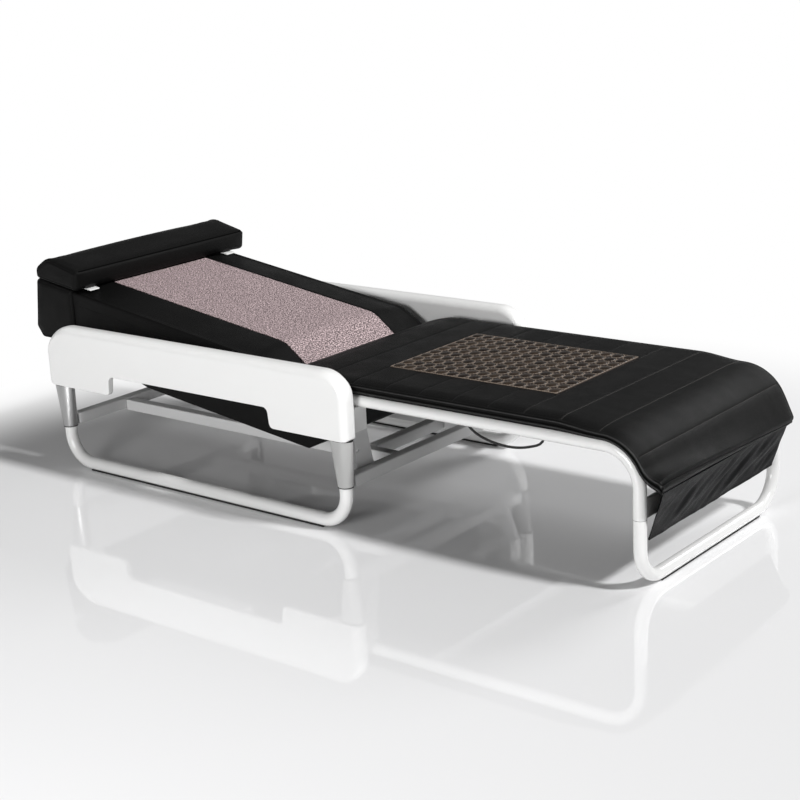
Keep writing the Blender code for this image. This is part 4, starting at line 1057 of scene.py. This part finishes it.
# %% [markdown]
# ## Body cushions
# Two strips lie beside the mesh and bend down to the leg pad at the kink. Flat side panels close the body
# under them, and a bent belly panel closes it below. Each could be modelled alone, but all are drawn along
# one shared line of the body, so that their edges meet.

# %% Lines of the body
body_low, body_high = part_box("cushion_strip_right")
mesh_low, mesh_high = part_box("mesh_panel")
belly_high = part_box("belly_panel")[1]
BODY_X = body_low[0]
BODY_Y = abs(body_low[1])
BODY_TOP_Z = 0.480
BODY_SLOPE = math.radians(8.53)
KINK_X = -0.178
KINK_SLOPE = math.radians(36.0)
KINK_R = 0.070
BODY_FRONT_Z = 0.285
BODY_END_Z = SIDE_TUBE_Z + PAD_SEAT - 0.002
BELLY_FRONT_Z = 0.196
BELLY_LINE = ((0.0, 0.140), (0.045, 0.1333), (0.185, 0.1853), (0.261, 0.2009), (0.581, 0.1959),
              (0.819, 0.1922))


def top_plane(x):
    """Height of the body's sloping top between the head and the kink."""
    return BODY_TOP_Z - math.tan(BODY_SLOPE) * (x - BODY_X)


kink_z = top_plane(KINK_X)
end_x = KINK_X + (kink_z - BODY_END_Z) / math.tan(KINK_SLOPE)
body_line = Line(rounded([(BODY_X, BODY_TOP_Z, 0), (KINK_X, kink_z, KINK_R), (end_x, BODY_END_Z, 0)], 24))
BODY_LENGTH = body_line.lengths[-1]
belly_points = [(BODY_X + run, top_plane(BODY_X + run) - depth) for run, depth in BELLY_LINE]
belly_points += [(belly_high[0], BELLY_FRONT_Z), (belly_high[0], BODY_FRONT_Z)]


def flat_share(along):
    """1 on the sloping part of the body, 0 where it has bent down to the leg pad."""
    return 1 - ease(along, BODY_LENGTH - 0.13, BODY_LENGTH - 0.01)


print("body length", round(float(BODY_LENGTH), 3))

# %% Cushion strips
STRIP_INNER_Y = abs(body_high[1]) - 0.004
STRIP_T = 0.040
STRIP_RISE = 0.004
STRIP_FALL = 0.007
STRIP_CROWN = 0.0016
STRIP_PROFILE = ((0.0, -0.0100), (0.0004, -0.0060), (0.0020, -0.0030), (0.0050, -0.0012))
EDGE_PROFILE = ((0.0120, -0.0002), (0.0092, -0.0010), (0.0072, -0.0003), (0.0044, -0.0006), (0.0018, -0.0024),
                (0.0002, -0.0052), (0.0, -0.0100))


def strip_place(along, up):
    """A place on a strip, whose underside starts further on at the head, below the slope."""
    start = STRIP_T * math.tan(BODY_SLOPE) if up < -STRIP_T / 2 else 0.0
    return body_line.at(max(along, start), up)


def cushion_strip(side, sign):
    shares = np.linspace(0.0, 1.0, 26)
    tops = np.linspace(STRIP_INNER_Y + 0.009, BODY_Y - 0.016, len(shares))
    sections = []
    for along in np.linspace(0.0005, BODY_LENGTH, 190):
        rise, fall = STRIP_RISE * flat_share(along), STRIP_FALL * flat_share(along)
        crowns = [rise - (rise + fall) * t + STRIP_CROWN * math.sin(math.pi * t) for t in shares]
        loop = [(STRIP_INNER_Y, -STRIP_T)] + [(STRIP_INNER_Y + run, up + rise) for run, up in STRIP_PROFILE]
        loop += [(y, c - 0.0010 + slack(along, y, 0.09, 0.0008)) for y, c in zip(tops, crowns)]
        loop += [(BODY_Y - run, up - fall) for run, up in EDGE_PROFILE] + [(BODY_Y, -STRIP_T)]
        sections.append(placed(loop, lambda y, up: strip_place(along, up), sign))
    strip = skin("cushion_strip", sections)
    name = f"cushion_strip_{side}"
    settle(strip, f"{name}_skin", BLACK_LEATHER, "base", name, slot="black_leather", angle=60.0)
    print(name, len(strip.data.vertices))


for side, sign in SIDES:
    cushion_strip(side, sign)

# %% Side panels
SIDE_T = 0.012
UNDER_STRIP = 0.0004


def side_panel(side, sign):
    """A flat covered board: its lower edge is the belly's line, its upper edge the strip's underside."""
    belly = np.array(belly_points[:-1])
    under = [body_line.at(s, -STRIP_T - UNDER_STRIP) for s in np.linspace(0.0, BODY_LENGTH, 60)]
    last_x, last_z = under[-1]
    front_x = last_x + (last_z - BODY_FRONT_Z) / math.tan(KINK_SLOPE)
    under = np.array(under + [(front_x, BODY_FRONT_Z), (belly_high[0], BODY_FRONT_Z)])
    outer, inner = BODY_Y, BODY_Y - SIDE_T
    sections = []
    for x in np.linspace(BODY_X + 0.0004, belly_high[0], 120):
        low = np.interp(x, belly[:, 0], belly[:, 1])
        high = np.interp(x, under[:, 0], under[:, 1])
        loop = [(inner, low), (outer - 0.004, low), (outer - 0.0012, low + 0.0012), (outer, low + 0.004)]
        for z in np.linspace(low + 0.010, high - 0.006, 12):
            loop.append((outer + slack(x, z, 0.16, 0.0007), z))
        loop += [(outer, high), (inner, high)]
        sections.append([(x, sign * y, z) for y, z in loop])
    panel = skin("side_panel", sections)
    name = f"side_panel_{side}"
    settle(panel, f"{name}_skin", BLACK_LEATHER, "base", name, slot="black_leather", angle=35.0)
    print(name, len(panel.data.vertices))


for side, sign in SIDES:
    side_panel(side, sign)

# %% Belly panel
BELLY_T = 0.010
BELLY_BEND_R = 0.012


def belly_panel():
    bends = [(x, z, BELLY_BEND_R) for x, z in belly_points]
    line = Line(rounded(bends, 5))
    reach = belly_high[1]
    across = np.linspace(-reach, reach, 25)
    sections = []
    for along in np.linspace(0.0, line.lengths[-1], 130):
        loop = [(y, slack(along, y, 0.20, 0.0012) * ease(reach - abs(y), 0.0, 0.05)) for y in across]
        loop += [(y, BELLY_T - 0.0006) for y in across[::-1]]
        sections.append(placed(loop, lambda y, up: line.at(along, up)))
    panel = skin("belly_panel_skin", sections)
    settle(panel, "belly_panel_skin", BLACK_CLOTH, "base", "belly_panel", slot="black_cloth", angle=35.0)
    print("belly line", round(float(line.lengths[-1]), 3))


belly_panel()

# %% [markdown]
# ## Mesh panel
# Between the strips lies a knitted stretch cloth that the rollers press from below. It could be a sheet with
# real holes or see-through ones. A thin closed skin with a lattice of holes in its finish was chosen, because
# the holes are about 4 mm wide and nothing behind them shows.

# %% Mesh panel
MESH_SKIN = 0.006
MESH_SIDE_GAP = 0.0042
MESH_CROWN = 0.0028


def mesh_panel():
    """Stretch mesh, drawn tight between the strips over the roller channel."""
    reach = mesh_high[1] - MESH_SIDE_GAP
    across = np.linspace(-reach, reach, 41)
    start = (mesh_low[0] - BODY_X) / math.cos(BODY_SLOPE)
    sections = []
    for along in np.linspace(start, BODY_LENGTH, 150):
        loop = [(y, -MESH_SKIN) for y in across]
        top = MESH_CROWN * flat_share(along) - 0.0004
        loop += [(y, top - slack(along, y, 0.25, 0.0006)) for y in across[::-1]]
        sections.append(placed(loop, lambda y, up: body_line.at(along, up)))
    panel = skin("mesh_panel_skin", sections)
    settle(panel, "mesh_panel_skin", MAUVE_MESH, "base", "mesh_panel", slot="mauve_mesh", angle=40.0)
    print("mesh", round(2 * reach, 3), round(float(BODY_LENGTH - start), 3))


mesh_panel()

# %% [markdown]
# ## Head block and bolster
# Both are foam blocks in a sewn cover: an end cap each side with a seam round it, and a long seam along the
# bolster's front edge. The cover is drawn a little under size, then blown up with Cloth while its seams are
# held.

# %% Outlines of covers
OUTLINE_STEP = 0.003
COVER_IN = 0.0012


def evenly(outline, step):
    """Points at an even step round a closed outline."""
    line = Line(list(outline) + [outline[0]])
    count = round(line.lengths[-1] / step)
    return [line.at(line.lengths[-1] * i / count, 0.0) for i in range(count)]


def inset(outline, amount):
    """An outline moved in along its own normals."""
    points = np.array(outline)
    runs = np.roll(points, -1, axis=0) - np.roll(points, 1, axis=0)
    runs /= np.linalg.norm(runs, axis=1)[:, None]
    turn = np.sum(points[:, 0] * np.roll(points[:, 1], -1) - points[:, 1] * np.roll(points[:, 0], -1))
    inward = np.column_stack((-runs[:, 1], runs[:, 0])) * math.copysign(1.0, turn)
    return points + inward * amount


def cover_outline(corners):
    """A closed outline with rounded corners, drawn a little under size."""
    return [Vector(p) for p in inset(evenly(rounded(corners, 8, closed=True), OUTLINE_STEP), COVER_IN)]


# %% Covered blocks
CAP_RINGS = (0.06, 0.25, 0.45, 0.65, 0.82)
CAP_EDGE = ((0.0098, 0.0006), (0.0088, 0.0016), (0.0080, 0.0022), (0.0072, 0.0014), (0.0058, 0.0014),
            (0.0036, 0.0030), (0.0016, 0.0058), (0.0005, 0.0090), (0.0, 0.0130))
CAP_DOME = 0.0006
SEAM_RING = 2
SEAM_NEAR = 0.0042
SEAM_DEEP = 0.0016
SEAM_HELD = 0.006
ROW_NEAR = 0.0004
STATION_STEP = 0.0045


def on_seam(place, rows, seam_rows, seam_at):
    if any(abs(place.y - rows[row][0]) < ROW_NEAR for row in seam_rows):
        return True
    return bool(seam_at) and math.dist((place.x, place.z), seam_at) < SEAM_HELD


def covered_block(name, outline, half, seam_at=None):
    """A covered foam block between end caps, and the numbers of the points on its seams."""
    ring = evenly([tuple(p) for p in outline], STATION_STEP)
    middle = np.mean(ring, axis=0)
    if seam_at:
        sunk = inset(ring, SEAM_DEEP)
        ring = [p if math.dist(p, seam_at) > SEAM_NEAR else tuple(deep) for p, deep in zip(ring, sunk)]
    last = inset(ring, CAP_EDGE[0][0])
    rows = [(-half + CAP_DOME * share, middle + (last - middle) * share) for share in CAP_RINGS]
    rows += [(-half + deep, inset(ring, into)) for into, deep in CAP_EDGE]
    free = half - CAP_EDGE[-1][1]
    body = np.linspace(-free, free, round(2 * free / STATION_STEP))[1:-1]
    rows = rows + [(y, np.array(ring)) for y in body] + [(-y, points) for y, points in rows[::-1]]
    sections = [[(x, y, z) for x, z in points] for y, points in rows]
    seam_rows = (len(CAP_RINGS) + SEAM_RING, len(rows) - 1 - len(CAP_RINGS) - SEAM_RING)
    made = skin(name, sections)
    seams = [v.index for v in made.data.vertices if on_seam(v.co, rows, seam_rows, seam_at)]
    return made, seams


# %% Blowing up a cover
CLOTH_FRAMES = 16
CLOTH_MASS = 0.2
CLOTH_STRETCH = 12.0
CLOTH_BEND = 2.0
COVER_PRESSURE = 4.0
CAP_CALM = 0.030
CAP_LEAST = 0.12


def places_of(obj):
    places = np.empty(len(obj.data.vertices) * 3)
    obj.data.vertices.foreach_get("co", places)
    return places


def blow_up(obj, seams, cap):
    """Swell a cover with Cloth while its seams are held, and cap how far it moves."""
    before = places_of(obj)
    held = obj.vertex_groups.new(name="seams")
    held.add(seams, 1.0, "REPLACE")
    cloth_step = obj.modifiers.new("cover", "CLOTH")
    settings = cloth_step.settings
    settings.vertex_group_mass = "seams"
    settings.use_pressure = True
    settings.uniform_pressure_force = COVER_PRESSURE
    settings.effector_weights.gravity = 0.0
    settings.mass = CLOTH_MASS
    settings.tension_stiffness = CLOTH_STRETCH
    settings.compression_stiffness = CLOTH_STRETCH
    settings.bending_stiffness = CLOTH_BEND
    cloth_step.collision_settings.use_collision = False
    cloth_step.point_cache.frame_start = 1
    cloth_step.point_cache.frame_end = CLOTH_FRAMES
    for frame_number in range(1, CLOTH_FRAMES + 1):
        scene.frame_set(frame_number)
    only(obj)
    bpy.ops.object.modifier_apply(modifier="cover")
    scene.frame_set(1)
    moves = (places_of(obj) - before).reshape(-1, 3)
    ends = np.abs(before.reshape(-1, 3)[:, 1])
    moves *= np.clip((ends.max() - ends) / CAP_CALM, CAP_LEAST, 1.0)[:, None]
    sizes = np.linalg.norm(moves, axis=1)
    moves *= (cap * np.tanh(sizes / cap) / np.maximum(sizes, 1e-9))[:, None]
    obj.data.vertices.foreach_set("co", before + moves.reshape(-1))
    obj.vertex_groups.clear()
    print("blown up", obj.name, "largest move", round(float(sizes.max()), 4))


# %% Wrinkles
WRINKLE = 0.0005


def pucker(obj, size):
    """Slow wrinkles along a cover's normals."""
    for vert in obj.data.vertices:
        place = Vector((vert.co.x / size, vert.co.y / (2.2 * size), vert.co.z / size))
        vert.co += vert.normal * WRINKLE * noise.noise(place)


# %% Head block
HEAD_R = 0.014
HEAD_FRONT_R = 0.010
HEAD_CHAMFER = 0.022
HEAD_LEAN = 0.020
HEAD_DROP = 0.010
BLOCK_WIDER = 0.005
BLOCK_SWELL = 0.0024


def head_block():
    low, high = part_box("head_block")
    front_x, back_x = high[0], low[0] - HEAD_LEAN
    under_z = low[2] - HEAD_DROP
    outline = cover_outline([
        (front_x, low[2], HEAD_R), (front_x, top_plane(front_x), HEAD_FRONT_R),
        (low[0], top_plane(low[0]), HEAD_R), (back_x, low[2] + HEAD_CHAMFER, HEAD_R),
        (back_x + HEAD_CHAMFER, under_z, HEAD_R), (front_x - HEAD_CHAMFER, under_z, HEAD_R)])
    block, seams = covered_block("head_block_skin", outline, high[1] + BLOCK_WIDER)
    blow_up(block, seams, BLOCK_SWELL)
    pucker(block, 0.05)
    settle(block, "head_block_skin", BLACK_LEATHER, "base", "head_block", slot="black_leather", angle=60.0)
    print("head block", len(block.data.vertices))


head_block()

# %% Bolster
BOLSTER_R = 0.013
BOLSTER_CREST = (-0.902, 0.5665, 0.055)
BOLSTER_BACK_Z = 0.533
BOLSTER_BACK_R = 0.022
BOLSTER_FRONT = (-0.780, 0.0585)
BOLSTER_FRONT_R = 0.009
BOLSTER_UNDERCUT = 0.008
BOLSTER_SINK = 0.0022
BOLSTER_LONGER = 0.011
BOLSTER_SWELL = 0.0022
SEAM_SHADOW_R = 0.0016
SEAM_SHADOW_IN = 0.012
SEAM_SHADOW_SET = (0.0010, 0.0008)


def bolster_seam_shadow(seam, half):
    """A near-black cord along the bolster's front edge: painted shadow under the seam there."""
    reach = half - SEAM_SHADOW_IN
    x, z = seam[0] - SEAM_SHADOW_SET[0], seam[1] - SEAM_SHADOW_SET[1]
    cord = rods("bolster_seam_shadow", [[(x, y, z) for y in np.linspace(-reach, reach, 60)]], SEAM_SHADOW_R, 2)
    settle(cord, "bolster_seam_shadow", SEAM_SHADE, "bolster", slot="black_leather", angle=60.0)


def bolster():
    low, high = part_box("bolster")
    low_x, low_z = low[0], low[2] - BOLSTER_SINK
    front_x, front_h = BOLSTER_FRONT
    bottom_x = front_x - BOLSTER_UNDERCUT
    lift = low_z - top_plane(bottom_x)
    outline = cover_outline([
        (bottom_x, low_z, BOLSTER_R), (front_x, low_z + front_h, BOLSTER_FRONT_R), BOLSTER_CREST,
        (low_x, BOLSTER_BACK_Z, BOLSTER_BACK_R), (low_x, top_plane(low_x) + lift, BOLSTER_R)])
    seam = min(outline, key=lambda p: math.dist(p, (front_x, low_z + front_h)))
    half = high[1] + BOLSTER_LONGER
    piece, seams = covered_block("bolster_skin", outline, half, tuple(seam))
    blow_up(piece, seams, BOLSTER_SWELL)
    pucker(piece, 0.06)
    bolster_seam_shadow(seam, half)
    settle(piece, "bolster_skin", BLACK_LEATHER, "bolster", "bolster", slot="black_leather", angle=60.0)
    print("bolster", len(piece.data.vertices))


bolster()

# %% [markdown]
# ## Bolster tabs
# Two thin white tabs carry the bolster's front edge, and only slivers of them show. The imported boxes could
# stay, but they reach too far out, so each is drawn again with eased front edges.

# %% Bolster tabs
TAB_SHOWS = 0.006
TAB_T = 0.0030
TAB_EDGE_R = 0.0012
TAB_LOW_R = 0.0006
TAB_TOP_R = 0.0010


def bolster_tab(side):
    """A thin white tab that shows a little in front of the bolster."""
    low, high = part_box(f"bolster_tab_{side}")
    back_x, reach = low[0], BOLSTER_FRONT[0] - BOLSTER_UNDERCUT + TAB_SHOWS
    back_z, front_z = (top_plane(x) + STRIP_RISE / 2 for x in (back_x, reach))
    sections = []
    for y in np.linspace(low[1], high[1], 12):
        near = min(y - low[1], high[1] - y)
        x = reach - TAB_EDGE_R * (1 - ease(near, 0.0, 0.003))
        sections.append([
            (back_x, y, back_z), (x - TAB_LOW_R, y, front_z),
            (x, y, front_z + TAB_LOW_R), (x, y, front_z + TAB_T - TAB_TOP_R),
            (x - TAB_TOP_R, y, front_z + TAB_T), (back_x, y, back_z + TAB_T)])
    tab = skin("bolster_tab", sections)
    name = f"bolster_tab_{side}"
    settle(tab, f"{name}_plate", WHITE_PLASTIC, "base", name, slot="white_plastic", angle=35.0)
    print(name, "to x", round(float(reach), 4))


for side, _ in SIDES:
    bolster_tab(side)

# %% [markdown]
# ## Stone panel
# Polished stones in rows on a net: each stone is a low dome, and a ring of crochet with a toothed edge holds
# it. Each could be an object of its own, but one stone and one ring repeated by Array modifiers stay light
# and keep every row straight.

# %% Rows over the stone panel
STONES_LONG = 15
STONES_WIDE = 10
STONE_LONG_PITCH = (stone_high[0] - stone_low[0]) / STONES_LONG
STONE_WIDE_PITCH = (stone_high[1] - stone_low[1]) / STONES_WIDE
STONE_LONG_R = 0.0142
STONE_WIDE_R = 0.0158
STONE_FIRST = (stone_low[0] + STONE_LONG_PITCH / 2, stone_low[1] + STONE_WIDE_PITCH / 2)


def bake_place():
    bpy.ops.object.transform_apply(location=True, rotation=True, scale=True)


def in_rows(obj):
    """Repeat the first stone or ring over the panel."""
    only(obj)
    for label, count, step in (("long", STONES_LONG, (STONE_LONG_PITCH, 0.0, 0.0)),
                               ("wide", STONES_WIDE, (0.0, STONE_WIDE_PITCH, 0.0))):
        rows = obj.modifiers.new(label, "ARRAY")
        rows.count = count
        rows.use_relative_offset = False
        rows.use_constant_offset = True
        rows.constant_offset_displace = step
        bpy.ops.object.modifier_apply(modifier=label)


print("stone pitches", round(STONE_LONG_PITCH, 4), round(STONE_WIDE_PITCH, 4))

# %% Net and its edge
NET_T = 0.0034
NET_TOP_Z = stone_low[2] + NET_T
NET_EDGE_R = 0.0015
EDGE_IN = 0.0018
EDGE_R = 0.0013
EDGE_UP = 0.0004


def stone_net():
    """The net's ground, with eased edges."""
    middle = [(a + b) / 2 for a, b in zip(stone_low, stone_high)]
    bpy.ops.mesh.primitive_cube_add(size=1.0, location=(middle[0], middle[1], stone_low[2] + NET_T / 2))
    net = bpy.context.object
    net.scale = (stone_high[0] - stone_low[0], stone_high[1] - stone_low[1], NET_T)
    bake_place()
    round_edge = net.modifiers.new("edge", "BEVEL")
    round_edge.width = NET_EDGE_R
    round_edge.segments = 3
    bpy.ops.object.modifier_apply(modifier="edge")
    settle(net, "stone_net", NET_GROUND, "leg_section", "stone_panel", slot="jade", angle=40.0)


def edge_cord():
    """A cord round the net's edge."""
    low_x, high_x = stone_low[0] + EDGE_IN, stone_high[0] - EDGE_IN
    low_y, high_y = stone_low[1] + EDGE_IN, stone_high[1] - EDGE_IN
    z = NET_TOP_Z + EDGE_UP
    corners = [(low_x, low_y, z), (high_x, low_y, z), (high_x, high_y, z), (low_x, high_y, z)]
    cord = rods("stone_edge", [corners], EDGE_R, 2, closed=True)
    settle(cord, "stone_edge", NET_THREAD, "leg_section", slot="jade", angle=60.0)


stone_net()
edge_cord()
print("net top", round(float(NET_TOP_Z), 4))

# %% Crochet rings
RING_R = 0.0010
RING_OUT = 0.0008
RING_UP = 0.0006
RING_TEETH = 16


def crochet_rings():
    bpy.ops.mesh.primitive_torus_add(major_segments=4 * RING_TEETH, minor_segments=6, major_radius=1.0,
                                     minor_radius=RING_R / STONE_WIDE_R)
    ring = bpy.context.object
    for vert in ring.data.vertices:
        angle = math.atan2(vert.co.y, vert.co.x)
        swell = 1.0 + 0.055 * math.cos(RING_TEETH * angle)
        vert.co.x *= swell
        vert.co.y *= swell
        vert.co.z *= 0.9 + 0.5 * math.cos(RING_TEETH * angle)
    ring.location = (*STONE_FIRST, NET_TOP_Z + RING_UP)
    ring.scale = (STONE_LONG_R + RING_OUT, STONE_WIDE_R + RING_OUT, STONE_WIDE_R)
    bake_place()
    in_rows(ring)
    settle(ring, "stone_rings", NET_THREAD, "leg_section", slot="jade", angle=60.0)


crochet_rings()
print("teeth on a ring", RING_TEETH)

# %% Stones
STONE_SUNK = 0.0006


def stones():
    middle_z = NET_TOP_Z - STONE_SUNK
    bpy.ops.mesh.primitive_uv_sphere_add(segments=24, ring_count=12, radius=1.0,
                                         location=(*STONE_FIRST, middle_z))
    stone = bpy.context.object
    stone.scale = (STONE_LONG_R, STONE_WIDE_R, stone_high[2] - middle_z)
    bake_place()
    floor_z = stone_low[2] + 0.0004
    for vert in stone.data.vertices:
        vert.co.z = max(vert.co.z, floor_z)
    in_rows(stone)
    settle(stone, "stones", STONE, "leg_section", slot="jade", angle=60.0)


stones()
print("stones", STONES_LONG * STONES_WIDE)

# %% [markdown]
# ## Apron
# A satin apron hangs from the pad's end down to the foot loop, pulled back under at its hem, so slanted folds
# run down from where it is sewn on. Cloth could hang it. Folds written as waves and noise were chosen,
# because they come out the same at every run.

# %% Folds of the apron
apron_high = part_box("apron")[1]
APRON_FOLDS = 5
APRON_SLANT = 1.1
APRON_DEPTH = 0.0050


def apron_fold(part, across):
    """How far a place on the apron stands out from its plane."""
    reach = apron_high[1]
    phase = (across / reach + APRON_SLANT * part) * math.pi * APRON_FOLDS / 2
    wander = 0.9 * noise.noise(Vector((across / 0.11, part * 1.3, 1.1)))
    large = math.sin(phase + 2.0 * wander)
    small = noise.noise(Vector(((across + 0.16 * part) / 0.028, part * 1.1, 6.3)))
    grow = min(1.0, part / 0.30)
    hem = 1 - 0.75 * ease(part, 0.60, 1.0)
    side = 0.15 + 0.85 * ease(reach - abs(across), 0.0, 0.06)
    return APRON_DEPTH * grow * hem * side * (0.5 * large + 0.7 * small)


# %% Apron
APRON_T = 0.0022
APRON_HEM_T = 1.9 * APRON_T
APRON_HEM_AT = 0.955
APRON_FOOT = (0.931, 0.1125)
APRON_TOP_Y = PAD_Y - 0.006
APRON_UP = 0.004


def apron():
    reach = apron_high[1]
    foot = Vector(APRON_FOOT)
    sections = []
    for across in np.linspace(-reach, reach, 260):
        front, back = [], []
        top = Vector(pad_place(PAD_LENGTH, across * APRON_TOP_Y / reach, APRON_UP))
        down = (foot - top).normalized()
        length = (foot - top).length
        out = Vector((-down.y, down.x))
        for part in np.linspace(0.0, 1.0, 44):
            place = top + down * length * part + out * apron_fold(part, across)
            thick = APRON_HEM_T if part > APRON_HEM_AT else APRON_T
            pull = across * (APRON_TOP_Y / reach * (1 - part) + part)
            front.append((place.x + out.x * thick / 2, pull, place.y + out.y * thick / 2))
            back.append((place.x - out.x * thick / 2, pull, place.y - out.y * thick / 2))
        sections.append(front + back[::-1])
    cloth_piece = skin("apron_skin", sections)
    settle(cloth_piece, "apron_skin", BLACK_SATIN, "leg_section", "apron", slot="black_cloth", angle=60.0)


apron()

# %% [markdown]
# ## Carried-over pieces
# The square tube, the brackets and the roller drive are plain hard pieces. They could be drawn again, but
# little of them shows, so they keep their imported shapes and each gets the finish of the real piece.

# %% Finishes of the carried-over pieces
CARRIED = (
    (GREY_ENAMEL, ("cross_tube", "runner", "guide_bracket", "body_bracket", "rail_tie", "carriage",
                   "pad_cross_bar")),
    (SATIN_STEEL, ("rail_right", "rail_left", "lift_table", "roller_axle")),
    (WHITE_PLASTIC, ("guide_block",)),
    (WHITE_ENAMEL, ("foot_end_bar",)),
    (DARK_PLASTIC_AND_GAP_SHADE, ("slide_bearing", "drive_motor", "drive_pulley", "idler_pulley")),
    (RUBBER_AND_GAP_SHADE, ("drive_belt", "floor_strip", "foot_strip", "lead_gland")),
    (JADE_PLAIN, ("jade_roller",)),
)


def dress_carried():
    dressed = 0
    for name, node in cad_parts.items():
        for finish, stems in CARRIED:
            if name.startswith(stems):
                node.data.materials.clear()
                node.data.materials.append(finish)
                dressed += 1
    print("carried over", dressed)


dress_carried()
